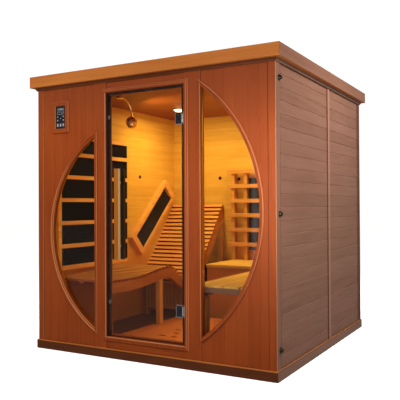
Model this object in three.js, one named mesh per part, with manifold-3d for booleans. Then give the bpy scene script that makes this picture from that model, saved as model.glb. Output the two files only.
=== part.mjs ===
// Infrared sauna cabin with a lounger, two benches and a glass door between two curved windows.
// Millimetres, +Z up. The origin is on the floor under the middle of the cabin, and the door faces -Y.

import * as THREE from 'three';
import { mergeVertices } from 'three/addons/utils/BufferGeometryUtils.js';
import Module from 'manifold-3d';

// Shell
const cabinWidth = 1800;
const cabinDepth = 1780;
const wallHeight = 1768;
const wallThickness = 44;
const boardPitch = 77;
const grooveWidth = 5;
const grooveDepth = 3;
const trimProud = 6;
const cornerTrimFront = 50;
const cornerTrimSide = 65;
const sideJointY = 60;
const coverStripWidth = 45;
const coverStripProud = 4;
const baseHeight = 55;
const baseLip = 8;
const roofHeight = 77;
const roofOverhang = 40;
const roofTopThickness = 18;
const roofRimLap = 60;
const ceilingThickness = 23;
const ceilingGap = 1;
const powerBoxWidth = 300;
const powerBoxDepth = 200;
const powerBoxHeadroom = 14;
const powerBoxX = 420;

// Floor deck
const deckHeight = 45;
const deckBoard = 18;
const deckLoungerLap = 52;
const deckBenchLap = 110;
const deckFrontGap = 40;
const deckRearGap = 650;
const deckBattenWidth = 44;
const deckEdgeBatten = 22;
const slotLength = 48;
const slotWidth = 30;
const slotPitchX = 96;
const slotPitchY = 105;
const slotMargin = 34;
const plainDeckWidth = 222;
const floorHeaterThickness = 6;
const floorHeaterGap = 4;

// Front wall
const doorOpeningWidth = 600;
const jambLeftWidth = 95;
const jambRightWidth = 113;
const sillHeight = 83;
const headHeight = 88;
const stopDepth = 20;
const stopWidth = 15;
const windowTrimWidth = 25;
const windowTrimProud = 12;
const windowRebate = 12;
const paneThickness = 6;
const paneSetback = 20;
const paneGap = 1;
const leftWindowRadius = 758;
const leftWindowZ = 819;
const leftWindowCornerGap = 60;
const rightWindowRadius = 959;
const rightWindowZ = 956;
const rightWindowCornerGap = 28;
const leftFirstBoard = 63;
const rightFirstBoard = 77;

// Door
const doorGlassThickness = 8;
const doorSetback = 18;
const doorEdgeGap = 6;
const doorHingeGap = 26;
const hingePivotInset = 16;
const hingeHeight = 74;
const hingeClampWidth = 44;
const hingePlate = 5;
const hingeFit = 0.3;
const hingeKnuckleRadius = 6;
const hingeKnuckleHeight = 56;
const hingePinRadius = 3;
const hingePinClearance = 0.5;
const hingeBracketPlate = 3;
const hingeBracketDepth = 24;
const hingeTopZ = 1530;
const hingeBottomZ = 345;
const handleLength = 590;
const handleWidth = 34;
const handleDepth = 22;
const handleStandoff = 15;
const handleX = -203;
const handleZ = 939;
const handlePostRadius = 11;
const handlePostInset = 90;
const handleStudRadius = 5;
const handleStudClearance = 1.5;
const catchHeight = 24;
const catchWidth = 14;
const catchPlate = 2;
const catchTopZ = 1576;
const catchBottomZ = 365;

// Control panel
const bezelRail = 30;
const bezelProud = 12;
const controlCornerGap = 160;
const controlZ = 1604;
const controlWidth = 84;
const controlHeight = 156;
const controlSunk = 18;
const controlProud = 6;
const controlGap = 0.3;
const displayWidth = 60;
const displayHeight = 46;
const displayRise = 42;
const displayRecess = 1;
const keyWidth = 13;
const keyHeight = 21;
const keyProud = 1.2;
const keyTravel = 1;
const keyBody = 3;
const keyGap = 0.4;
const keyColumn = 25;
const settingKeyRow = 7;
const settingKeyPitch = 27;
const modeKeyRow = -52;

// Lights
const ceilingLightWallGap = 400;
const ceilingLightRearGap = 550;
const ceilingLightRadius = 46;
const ceilingLightHeight = 20;
const lensCrownRadius = 32;
const lensCrownHeight = 17;
const lensRimHeight = 6;
const lampWallGap = 350;
const lampFrontGap = 378;
const lampRoseRadius = 26;
const lampRoseHeight = 18;
const lampStemRadius = 5;
const lampStemReach = 75;
const lampStemBend = 80;
const lampGlobeReach = 142;
const lampGlobeDrop = 178;
const lampGlobeRadius = 45;
const lampApertureRadius = 30;
const lampApertureLip = 3;
const lampApertureDepth = 6;
const lampNeckRadius = 9;
const lampNeckHeight = 10;
const lampSeatGap = 0.3;
const lampAim = [0.55, 0.8, -0.24];

// Heaters
const leftHeaterFrontGap = 61;
const leftHeaterRearGap = 761;
const leftHeaterBottom = 530;
const leftHeaterTop = 1521;
const leftHeaterThickness = 12;
const guardSlatHeight = 28;
const guardSlatDepth = 24;
const guardSlatPitch = 168;
const guardSlatRise = 172;
const guardRailHeight = 30;
const guardPostWidth = 36;
const guardRearInset = 32;
const guardGap = 0.3;
const sideHeaterLength = 734;
const sideHeaterWidth = 215;
const sideHeaterDepth = 45;
const sideHeaterTilt = 43.3;
const sideHeaterRearGap = 391;
const sideHeaterZ = 899;
const sideElementLength = 626;
const sideElementWidth = 148;
const sideElementDepth = 38;
const sideElementSag = 22;
const elementGap = 0.4;
const backHeaterWidth = 118;
const backHeaterDepth = 20;
const backHeaterBarGap = 1;
const backHeaterBottom = 600;
const backHeaterHeight = 630;
const backrestPostWidth = 30;
const backrestPostDepth = 62;
const backrestOuterPost = 196;
const backrestTop = 1305;
const backrestBarWidth = 492;
const backrestLoungerGap = 320;
const backrestBarHeight = 34;
const backrestBarDepth = 22;
const backrestBarPitch = 128;
const backrestBarCount = 6;
const calfHeaterWallGap = 50;
const calfHeaterSideGap = 100;
const calfHeaterRearGap = 550;
const calfHeaterDepth = 42;
const calfHeaterTop = 345;
const calfHeaterLift = 65;
const calfRailHeight = 16;
const calfSlatWidth = 14;
const calfSlatPitch = 38;
const calfPanel = 12;

// Seats
const loungerWidth = 530;
const loungerSlatWidth = 26;
const loungerSlatThickness = 18;
const loungerSlatPitch = 43;
const loungerRailWidth = 35;
const loungerRailDepth = 68;
const loungerStripWidth = 40;
const loungerStripDepth = 14;
const loungerStripLap = 2;
const loungerGap = 0.3;
const loungerEndGap = 1;
const loungerLegWidth = 44;
const loungerLegGap = 0.6;
const loungerMiddleLegRearGap = 1060;
const benchTop = 510;
const benchBoard = 22;
const benchBoardGap = 8;
const benchBoardCount = 5;
const benchBatten = 24;
const benchBattenWidth = 44;
const backBenchDepth = 530;
const backBenchLoungerGap = 106;
const riserSetback = 18;
const riserThickness = 20;
const rightBenchDepth = 520;
const rightBenchGap = 4;
const apronHeight = 62;
const apronThickness = 20;
const apronSetback = 6;
const benchLegWidth = 42;
const benchLegSetback = 40;

// Lounger profile after its foot end: distance from the rear wall and height of the slats' upper face
const loungerFootGap = 40;
const loungerFootZ = 490;
const loungerProfile = [
  [1320, 490],
  [1056, 519],
  [887, 520],
  [721, 427],
  [600, 396],
  [480, 462],
  [301, 651],
  [16, 1014],
];

// Facets of the round forms: the windows' arcs, discs, half-round key ends, globe and lounger curve
const windowFacets = 36;
const pivotFacets = 20;
const discFacets = 12;
const curveFacets = 12;
const keyEndFacets = 6;
const globeFacets = 16;
const globeRings = 9;
const stemFacets = 8;
const stemSteps = 9;
const profileSteps = 30;

// Places worked out from the driving sizes
const boardX = cabinWidth / 2 - trimProud;
const boardY = cabinDepth / 2 - trimProud;
const innerX = boardX - wallThickness;
const innerY = boardY - wallThickness;
const wallBottom = baseHeight;
const wallTop = baseHeight + wallHeight;
const ceilingBottom = wallTop - ceilingThickness;
const deckTop = baseHeight + deckHeight;
const deckFront = -innerY + deckFrontGap;
const deckRear = innerY - deckRearGap;
const jambFace = -cabinDepth / 2;
const openingLeft = -doorOpeningWidth / 2;
const openingRight = doorOpeningWidth / 2;
const jambLeftEdge = openingLeft - jambLeftWidth;
const jambRightEdge = openingRight + jambRightWidth;
const sillTop = wallBottom + sillHeight;
const headBottom = wallTop - headHeight;
const glassFront = jambFace + doorSetback;
const glassBack = glassFront + doorGlassThickness;
const glassMiddle = (glassFront + glassBack) / 2;
const glassLeft = openingLeft + doorEdgeGap;
const glassRight = openingRight - doorHingeGap;
const pivotX = openingRight - hingePivotInset;
const controlFace = -boardY - controlProud;
const loungerLeft = -innerX;
const loungerRight = -innerX + loungerWidth;
const rightBenchLeft = innerX - rightBenchDepth;
const backBenchFront = innerY - backBenchDepth;
const backrestX = loungerRight + backrestLoungerGap;
const deckLeft = loungerRight - deckLoungerLap;
const deckRight = rightBenchLeft + deckBenchLap;
const slottedFrom = deckLeft + plainDeckWidth;
const cornerEdge = cabinWidth / 2 - cornerTrimFront;
const controlX = -cornerEdge + controlCornerGap;
const leftWindow = {
  side: -1,
  centreX: -cornerEdge + leftWindowCornerGap + leftWindowRadius,
  centreZ: leftWindowZ,
  radius: leftWindowRadius,
  firstBoard: leftFirstBoard,
};
const rightWindow = {
  side: 1,
  centreX: cornerEdge - rightWindowCornerGap - rightWindowRadius,
  centreZ: rightWindowZ,
  radius: rightWindowRadius,
  firstBoard: rightFirstBoard,
};
const leftHeaterFront = -innerY + leftHeaterFrontGap;
const leftHeaterRear = innerY - leftHeaterRearGap;
const calfHeaterLeft = -innerX + calfHeaterWallGap;
const calfHeaterRight = loungerRight - calfHeaterSideGap;
const calfHeaterY = innerY - calfHeaterRearGap;
const lampX = -innerX + lampWallGap;
const lampRoseY = -innerY + lampFrontGap;
const lampGlobeY = lampRoseY + lampGlobeReach;
const seatBottom = benchTop - benchBoard;

// Finishes
const redwood = { color: 0x97481f, roughness: 0.5, metalness: 0 };
const fascia = { color: 0xa85a24, roughness: 0.5, metalness: 0 };
const sideBoards = { color: 0x8a6250, roughness: 0.6, metalness: 0 };
const palewood = { color: 0xd79a45, roughness: 0.6, metalness: 0 };
const clearGlass = { color: 0x6b5a48, roughness: 0.05, metalness: 0, transparent: true, opacity: 0.35 };
const chrome = { color: 0xb9bcc0, roughness: 0.2, metalness: 1 };
const bronze = { color: 0x9a6a3c, roughness: 0.3, metalness: 0.9 };
const carbon = { color: 0x1c1718, roughness: 0.6, metalness: 0 };
const blackGloss = { color: 0x0d0c10, roughness: 0.15, metalness: 0 };
const keyGrey = { color: 0xa9a5ad, roughness: 0.4, metalness: 0 };
const steelGrey = { color: 0x8d9093, roughness: 0.45, metalness: 0.8 };
const lampWhite = { color: 0xfff0c8, roughness: 0.4, metalness: 0 };

const wasm = await Module();
wasm.setup();

const X = new THREE.Vector3(1, 0, 0);
const Y = new THREE.Vector3(0, 1, 0);
const Z = new THREE.Vector3(0, 0, 1);

// Geometry helpers: every range is a pair [from, to]

function box([x0, x1], [y0, y1], [z0, z1]) {
  const geometry = new THREE.BoxGeometry(x1 - x0, y1 - y0, z1 - z0);
  return geometry.translate((x0 + x1) / 2, (y0 + y1) / 2, (z0 + z1) / 2);
}

// The range between two values given in either order
function range(a, b) {
  return [Math.min(a, b), Math.max(a, b)];
}

function polygon(points) {
  return new THREE.Shape(points.map(([u, v]) => new THREE.Vector2(u, v)));
}

// An arc in a shape gets two facets for each curve segment
function extrude(shape, [from, to], facets) {
  const curveSegments = facets / 2;
  return new THREE.ExtrudeGeometry(shape, { depth: to - from, bevelEnabled: false, curveSegments });
}

// The shape is drawn in (y, z)
function alongX(shape, span, facets = curveFacets) {
  const turn = new THREE.Matrix4().makeBasis(Y, Z, X);
  return extrude(shape, span, facets).applyMatrix4(turn).translate(span[0], 0, 0);
}

// The shape is drawn in (x, z)
function alongY(shape, span, facets = curveFacets) {
  const turn = new THREE.Matrix4().makeBasis(X, Z, Y.clone().negate());
  return extrude(shape, span, facets).applyMatrix4(turn).translate(0, span[1], 0);
}

// The shape is drawn in (x, y)
function alongZ(shape, span, facets = curveFacets) {
  return extrude(shape, span, facets).translate(0, 0, span[0]);
}

function discAlongY(radius, x, z, span, facets = discFacets) {
  const shape = new THREE.Shape().absarc(x, z, radius, 0, 2 * Math.PI, false);
  return alongY(shape, span, facets);
}

function discAlongZ(radius, x, y, span, facets = discFacets) {
  const shape = new THREE.Shape().absarc(x, y, radius, 0, 2 * Math.PI, false);
  return alongZ(shape, span, facets);
}

// Upright outline with half-round ends
function stadium(x, z, width, height) {
  const radius = width / 2;
  const rise = height / 2 - radius;
  const shape = new THREE.Shape();
  shape.absarc(x, z + rise, radius, 0, Math.PI, false);
  shape.absarc(x, z - rise, radius, Math.PI, 2 * Math.PI, false);
  return shape;
}

function solid(geometry) {
  const bare = new THREE.BufferGeometry();
  bare.setAttribute('position', geometry.getAttribute('position'));
  bare.setIndex(geometry.getIndex());
  const merged = mergeVertices(bare);
  const corners = merged.getIndex().array;
  const kept = [];
  for (let i = 0; i < corners.length; i += 3) {
    const [a, b, c] = [corners[i], corners[i + 1], corners[i + 2]];
    if (a !== b && b !== c && c !== a) {
      kept.push(a, b, c);
    }
  }
  const vertProperties = new Float32Array(merged.getAttribute('position').array);
  const triVerts = new Uint32Array(kept);
  return new wasm.Manifold(new wasm.Mesh({ numProp: 3, vertProperties, triVerts }));
}

function surface(manifold) {
  const mesh = manifold.getMesh();
  const geometry = new THREE.BufferGeometry();
  geometry.setAttribute('position', new THREE.BufferAttribute(new Float32Array(mesh.vertProperties), 3));
  geometry.setIndex(new THREE.BufferAttribute(new Uint32Array(mesh.triVerts), 1));
  const flat = geometry.toNonIndexed();
  flat.computeVertexNormals();
  return flat;
}

function join(first, ...others) {
  return surface(others.reduce((sum, other) => sum.add(solid(other)), solid(first)));
}

function cut(first, ...tools) {
  return surface(tools.reduce((rest, tool) => rest.subtract(solid(tool)), solid(first)));
}

const cabin = new THREE.Group();

function add(name, geometry, finish, parent = cabin) {
  const mesh = new THREE.Mesh(geometry, new THREE.MeshStandardMaterial(finish));
  mesh.name = name;
  parent.add(mesh);
}

// Base, floor heater and slotted deck

function slotCuts() {
  const slots = [];
  const rows = Math.floor((deckRear - deckFront - 2 * slotMargin) / slotPitchY);
  const columns = Math.floor((deckRight - slottedFrom - 2 * slotMargin - slotLength) / slotPitchX);
  for (let row = 0; row <= rows; row += 1) {
    const y = deckFront + slotMargin + row * slotPitchY;
    const shift = row % 2 === 0 ? 0 : slotPitchX / 2;
    for (let column = 0; column < columns; column += 1) {
      const x = slottedFrom + slotMargin + shift + column * slotPitchX;
      slots.push(box([x, x + slotLength], [y, y + slotWidth], [baseHeight, deckTop + deckBoard]));
    }
  }
  return slots;
}

function buildFloor() {
  const baseX = cabinWidth / 2 + baseLip;
  const baseY = cabinDepth / 2 + baseLip;
  add('base_panel', box([-baseX, baseX], [-baseY, baseY], [0, baseHeight]), redwood);

  const boardBottom = deckTop - deckBoard;
  const deckY = [deckFront, deckRear];
  const board = cut(box([deckLeft, deckRight], deckY, [boardBottom, deckTop]), ...slotCuts());
  const lap = deckBoard / 3;
  const battenZ = [baseHeight, boardBottom + lap];
  const battens = [
    [deckLeft, deckLeft + deckBattenWidth],
    [slottedFrom - deckBattenWidth, slottedFrom],
    [deckRight - deckEdgeBatten, deckRight],
  ].map((battenX) => box(battenX, deckY, battenZ));
  add('floor_deck', join(board, ...battens), palewood);

  const heaterX = [slottedFrom + floorHeaterGap, deckRight - deckEdgeBatten - floorHeaterGap];
  const heaterZ = [baseHeight, baseHeight + floorHeaterThickness];
  add('floor_heater', box(heaterX, [deckFront + slotMargin, deckRear - slotMargin], heaterZ), carbon);
}

// Walls

// Section of a panel of stacked boards, with the boarded face at the given offset and side
function boardedSection(inner, side) {
  const outer = inner + wallThickness;
  const points = [[side * inner, wallBottom], [side * outer, wallBottom]];
  for (let z = wallBottom + boardPitch; z < wallTop - grooveWidth; z += boardPitch) {
    points.push([side * outer, z - grooveWidth / 2]);
    points.push([side * (outer - grooveDepth), z]);
    points.push([side * outer, z + grooveWidth / 2]);
  }
  points.push([side * outer, wallTop], [side * inner, wallTop]);
  return polygon(points);
}

function buildSideWall(label, side) {
  const section = boardedSection(innerX, side);
  add(`${label}_wall_front`, alongY(section, [-innerY, sideJointY]), sideBoards);
  const stripX = range(side * (boardX - 2 * grooveDepth), side * (boardX + coverStripProud));
  const strip = box(stripX, [sideJointY, sideJointY + coverStripWidth], [wallBottom, wallTop]);
  add(`${label}_wall_rear`, join(alongY(section, [sideJointY, innerY]), strip), sideBoards);
}

function buildBackWall() {
  const panel = alongX(boardedSection(innerY, 1), [-boardX, boardX]);
  const edges = [-1, 1].map((side) => {
    const outline = polygon([
      [side * cornerEdge, boardY - 2 * grooveDepth],
      [side * cornerEdge, cabinDepth / 2],
      [side * cabinWidth / 2, cabinDepth / 2],
      [side * cabinWidth / 2, cabinDepth / 2 - cornerTrimSide],
      [side * boardX, cabinDepth / 2 - cornerTrimSide],
      [side * boardX, boardY - 2 * grooveDepth],
    ]);
    return alongZ(outline, [wallBottom, wallTop]);
  });
  add('back_wall', join(panel, ...edges), sideBoards);
}

function buildCornerTrim(label, side) {
  const outline = polygon([
    [side * cornerEdge, -cabinDepth / 2],
    [side * cabinWidth / 2, -cabinDepth / 2],
    [side * cabinWidth / 2, -cabinDepth / 2 + cornerTrimSide],
    [side * boardX, -cabinDepth / 2 + cornerTrimSide],
    [side * boardX, -boardY],
    [side * cornerEdge, -boardY],
  ]);
  add(`corner_trim_${label}`, alongZ(outline, [wallBottom, wallTop]), redwood);
}

// Roof, ceiling and the supply box between them

function buildRoof() {
  const roofX = cabinWidth / 2 + roofOverhang;
  const roofY = cabinDepth / 2 + roofOverhang;
  const cavityX = innerX - roofRimLap;
  const cavityY = innerY - roofRimLap;
  const cavityTop = wallTop + roofHeight - roofTopThickness;
  const cap = box([-roofX, roofX], [-roofY, roofY], [wallTop, wallTop + roofHeight]);
  const cavity = box([-cavityX, cavityX], [-cavityY, cavityY], [wallTop - roofHeight, cavityTop]);
  add('roof_cap', cut(cap, cavity), fascia);

  const ceilingX = innerX - ceilingGap;
  const ceilingY = innerY - ceilingGap;
  const ceilingZ = [ceilingBottom, wallTop];
  add('ceiling_panel', box([-ceilingX, ceilingX], [-ceilingY, ceilingY], ceilingZ), palewood);

  const supplyX = [powerBoxX - powerBoxWidth / 2, powerBoxX + powerBoxWidth / 2];
  const supplyY = [-powerBoxDepth / 2, powerBoxDepth / 2];
  add('power_box', box(supplyX, supplyY, [wallTop, cavityTop - powerBoxHeadroom]), steelGrey);
}

// Front wall with its curved windows

// Part of a disc beyond the upright line x = edge, on the window's own side
function discBeyond(window, radius, edge) {
  const middle = window.side > 0 ? 0 : Math.PI;
  const half = Math.acos(window.side * (edge - window.centreX) / radius);
  const shape = new THREE.Shape();
  shape.absarc(window.centreX, window.centreZ, radius, middle - half, middle + half, false);
  shape.closePath();
  return shape;
}

// Curved band between two radii, ending on the upright line x = edge
function bandBeyond(window, outer, inner, edge) {
  const middle = window.side > 0 ? 0 : Math.PI;
  const reach = window.side * (edge - window.centreX);
  const outerHalf = Math.acos(reach / outer);
  const innerHalf = Math.acos(reach / inner);
  const shape = new THREE.Shape();
  shape.absarc(window.centreX, window.centreZ, outer, middle - outerHalf, middle + outerHalf, false);
  shape.absarc(window.centreX, window.centreZ, inner, middle + innerHalf, middle - innerHalf, true);
  shape.closePath();
  return shape;
}

// Upright V grooves of the front boards, counted from the jamb outwards
function frontGrooves(window, edge) {
  const grooves = [];
  const side = window.side;
  for (let x = side * edge + window.firstBoard; x < cornerEdge - grooveWidth; x += boardPitch) {
    const outline = polygon([
      [side * x - grooveWidth / 2, -boardY - grooveDepth],
      [side * x + grooveWidth / 2, -boardY - grooveDepth],
      [side * x + grooveWidth / 2, -boardY],
      [side * x, -boardY + grooveDepth],
      [side * x - grooveWidth / 2, -boardY],
    ]);
    grooves.push(alongZ(outline, [wallBottom - grooveDepth, wallTop + grooveDepth]));
  }
  return grooves;
}

function buildFrontPanel(label, window, edge, ...cuts) {
  const opening = window.radius - windowTrimWidth;
  const rebate = opening + windowRebate;
  const paneFront = -boardY + paneSetback;
  const beyond = edge - window.side * wallThickness;
  const panelX = range(edge, window.side * boardX);
  const plate = box(panelX, [-boardY, -innerY], [wallBottom, wallTop]);
  const through = alongY(discBeyond(window, opening, beyond), [-cabinDepth / 2, 0], windowFacets);
  const ledge = alongY(discBeyond(window, rebate, beyond), [paneFront, 0], windowFacets);
  const panel = cut(plate, through, ledge, ...frontGrooves(window, edge), ...cuts);
  add(`front_${label}_panel`, panel, redwood);

  const paneEdge = edge + window.side * paneGap;
  const pane = discBeyond(window, rebate - paneGap, paneEdge);
  const paneY = [paneFront, paneFront + paneThickness];
  add(`${label}_window_glass`, alongY(pane, paneY, windowFacets), clearGlass);
  const trim = bandBeyond(window, window.radius, opening, edge);
  add(`${label}_window_trim`, alongY(trim, [-boardY - windowTrimProud, -boardY], windowFacets), redwood);
}

function buildDoorFrame() {
  const stopFront = -innerY - stopDepth;
  const upright = [wallBottom, wallTop];
  const lap = stopWidth / 2;
  const stopY = [stopFront, -innerY];
  const leftPost = box([jambLeftEdge, openingLeft], [jambFace, -innerY], upright);
  const leftStop = box([openingLeft - lap, openingLeft + stopWidth], stopY, [sillTop, headBottom]);
  add('door_jamb_left', join(leftPost, leftStop), redwood);
  add('door_jamb_right', box([openingRight, jambRightEdge], [jambFace, -innerY], upright), redwood);

  const span = [openingLeft, openingRight];
  const stopSpan = [openingLeft + stopWidth, openingRight];
  const head = box(span, [-boardY, -innerY], [headBottom, wallTop]);
  const headStop = box(stopSpan, stopY, [headBottom - stopWidth, headBottom + lap]);
  add('door_head', join(head, headStop), redwood);
  const sill = box(span, [-boardY, -innerY], [wallBottom, sillTop]);
  const sillStop = box(stopSpan, stopY, [sillTop - lap, sillTop + stopWidth]);
  add('door_sill', join(sill, sillStop), redwood);
}

// Glass door, its hinges, handles and catches

const handlePostHeights = [-1, 1].map((end) => handleZ + end * (handleLength / 2 - handlePostInset));

function buildDoorLeaf() {
  const leafZ = [sillTop + doorEdgeGap, headBottom - doorEdgeGap];
  const leaf = box([glassLeft, glassRight], [glassFront, glassBack], leafZ);
  const holeRadius = handleStudRadius + handleStudClearance;
  const holeY = [glassFront - doorGlassThickness, glassBack + doorGlassThickness];
  const holes = handlePostHeights.map((z) => discAlongY(holeRadius, handleX, z, holeY));
  add('door_glass', cut(leaf, ...holes), clearGlass);
}

function buildHinge(label, z) {
  const clampLeft = glassRight - hingeClampWidth;
  const clampRight = glassRight + hingeFit + hingePlate;
  const clampY = [glassFront - hingeFit - hingePlate, glassBack + hingeFit + hingePlate];
  const clampZ = [z - hingeHeight / 2, z + hingeHeight / 2];
  const knuckleZ = [z - hingeKnuckleHeight / 2, z + hingeKnuckleHeight / 2];
  const block = box([clampLeft, clampRight], clampY, clampZ);
  const slotX = [clampLeft - hingePlate, glassRight + hingeFit];
  const slotY = [glassFront - hingeFit, glassBack + hingeFit];
  const slot = box(slotX, slotY, [clampZ[0] - hingePlate, clampZ[1] + hingePlate]);
  const knuckle = discAlongZ(hingeKnuckleRadius, pivotX, glassMiddle, knuckleZ, pivotFacets);
  const webY = [glassMiddle - hingePlate, glassMiddle + hingePlate];
  const web = box([glassRight + hingeFit, pivotX], webY, knuckleZ);
  const boreRadius = hingePinRadius + hingePinClearance;
  const bore = discAlongZ(boreRadius, pivotX, glassMiddle, [z - hingeHeight, z + hingeHeight]);
  const ends = [-1, 1].map((end) => {
    const lugZ = range(z + end * hingeKnuckleHeight / 2, z + end * hingeHeight);
    const lugY = [clampY[0] - hingePlate, clampY[1] + hingePlate];
    return box([glassRight - hingeFit, openingRight], lugY, lugZ);
  });
  add(`hinge_clamp_${label}`, cut(join(cut(block, slot), web, knuckle), bore, ...ends), chrome);

  const plateX = [openingRight - hingeBracketPlate, openingRight];
  const plateY = [glassMiddle - hingeKnuckleRadius, glassMiddle - hingeKnuckleRadius + hingeBracketDepth];
  const plate = box(plateX, plateY, clampZ);
  const lugs = [-1, 1].map((end) => {
    const lugZ = range(z + end * (hingeKnuckleHeight / 2 + hingeFit), z + end * hingeHeight / 2);
    const radius = hingeKnuckleRadius - hingeFit;
    const eye = discAlongZ(radius, pivotX, glassMiddle, lugZ, pivotFacets);
    const armX = [pivotX, openingRight - hingeBracketPlate / 2];
    return join(eye, box(armX, [glassMiddle - radius, glassMiddle + radius], lugZ));
  });
  const pin = discAlongZ(hingePinRadius, pivotX, glassMiddle, clampZ);
  add(`hinge_bracket_${label}`, join(plate, ...lugs, pin), chrome);
}

// A handle bar on two posts; the outer one carries the studs that pass through the glass
function buildHandle(label, face, side, studLength) {
  const barNear = face + side * handleStandoff;
  const barY = range(barNear, barNear + side * handleDepth);
  const barX = [handleX - handleWidth / 2, handleX + handleWidth / 2];
  const bar = box(barX, barY, [handleZ - handleLength / 2, handleZ + handleLength / 2]);
  const postY = range(face, barNear + side * handleDepth / 2);
  const posts = handlePostHeights.map((z) => discAlongY(handlePostRadius, handleX, z, postY));
  const studs = handlePostHeights.filter(() => studLength > 0).map((z) => {
    const studY = range(barNear, face - side * studLength);
    return discAlongY(handleStudRadius, handleX, z, studY);
  });
  add(`handle_${label}`, join(bar, ...posts, ...studs), redwood);
}

function buildCatch(label, z) {
  const clipX = [glassLeft - hingeFit - catchPlate, glassLeft + catchWidth];
  const clipY = [glassFront - hingeFit - catchPlate, glassBack + hingeFit + catchPlate];
  const clipZ = [z - catchHeight / 2, z + catchHeight / 2];
  const slotY = [glassFront - hingeFit, glassBack + hingeFit];
  const slotX = [glassLeft - hingeFit, glassLeft + 2 * catchWidth];
  const slot = box(slotX, slotY, [clipZ[0] - catchPlate, clipZ[1] + catchPlate]);
  add(`catch_${label}`, cut(box(clipX, clipY, clipZ), slot), chrome);
}

// Control panel with its bezel and push keys

const settingKeys = [
  ['key_temperature_up', -keyColumn, settingKeyRow],
  ['key_temperature_down', -keyColumn, settingKeyRow - settingKeyPitch],
  ['key_time_up', keyColumn, settingKeyRow],
  ['key_time_down', keyColumn, settingKeyRow - settingKeyPitch],
];
const modeKeys = [
  ['key_power', -keyColumn, modeKeyRow],
  ['key_light', 0, modeKeyRow],
  ['key_heat', keyColumn, modeKeyRow],
];
const keys = [...settingKeys, ...modeKeys];

function controlPocket() {
  const halfWidth = controlWidth / 2 + controlGap;
  const halfHeight = controlHeight / 2 + controlGap;
  const pocketY = [-cabinDepth / 2, -boardY + controlSunk];
  const pocketX = [controlX - halfWidth, controlX + halfWidth];
  return box(pocketX, pocketY, [controlZ - halfHeight, controlZ + halfHeight]);
}

function buildControls() {
  const halfWidth = controlWidth / 2;
  const halfHeight = controlHeight / 2;
  const bezelX = [controlX - halfWidth - bezelRail, controlX + halfWidth + bezelRail];
  const bezelZ = [controlZ - halfHeight - bezelRail, controlZ + halfHeight + bezelRail];
  const bezel = box(bezelX, [-boardY - bezelProud, -boardY], bezelZ);
  const hole = box(
    [controlX - halfWidth - controlGap, controlX + halfWidth + controlGap],
    [-boardY - 2 * bezelProud, -boardY + bezelProud],
    [controlZ - halfHeight - controlGap, controlZ + halfHeight + controlGap],
  );
  add('control_bezel', cut(bezel, hole), redwood);

  const faceX = [controlX - halfWidth, controlX + halfWidth];
  const faceZ = [controlZ - halfHeight, controlZ + halfHeight];
  const face = box(faceX, [controlFace, -boardY + controlSunk], faceZ);
  const display = box(
    [controlX - displayWidth / 2, controlX + displayWidth / 2],
    [controlFace - displayRecess, controlFace + displayRecess],
    [controlZ + displayRise - displayHeight / 2, controlZ + displayRise + displayHeight / 2],
  );
  const wellDepth = keyBody + keyTravel + keyGap;
  const wells = keys.map(([, x, z]) => {
    const outline = stadium(controlX + x, controlZ + z, keyWidth + 2 * keyGap, keyHeight + 2 * keyGap);
    return alongY(outline, [controlFace - keyProud, controlFace + wellDepth], keyEndFacets);
  });
  add('control_panel', cut(face, display, ...wells), blackGloss);

  keys.forEach(([name, x, z]) => {
    const outline = stadium(controlX + x, controlZ + z, keyWidth, keyHeight);
    const keyY = [controlFace - keyProud, controlFace + keyBody];
    add(name, alongY(outline, keyY, keyEndFacets), keyGrey);
  });
}

// Ceiling light and the globe lamp on its curved stem

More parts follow.
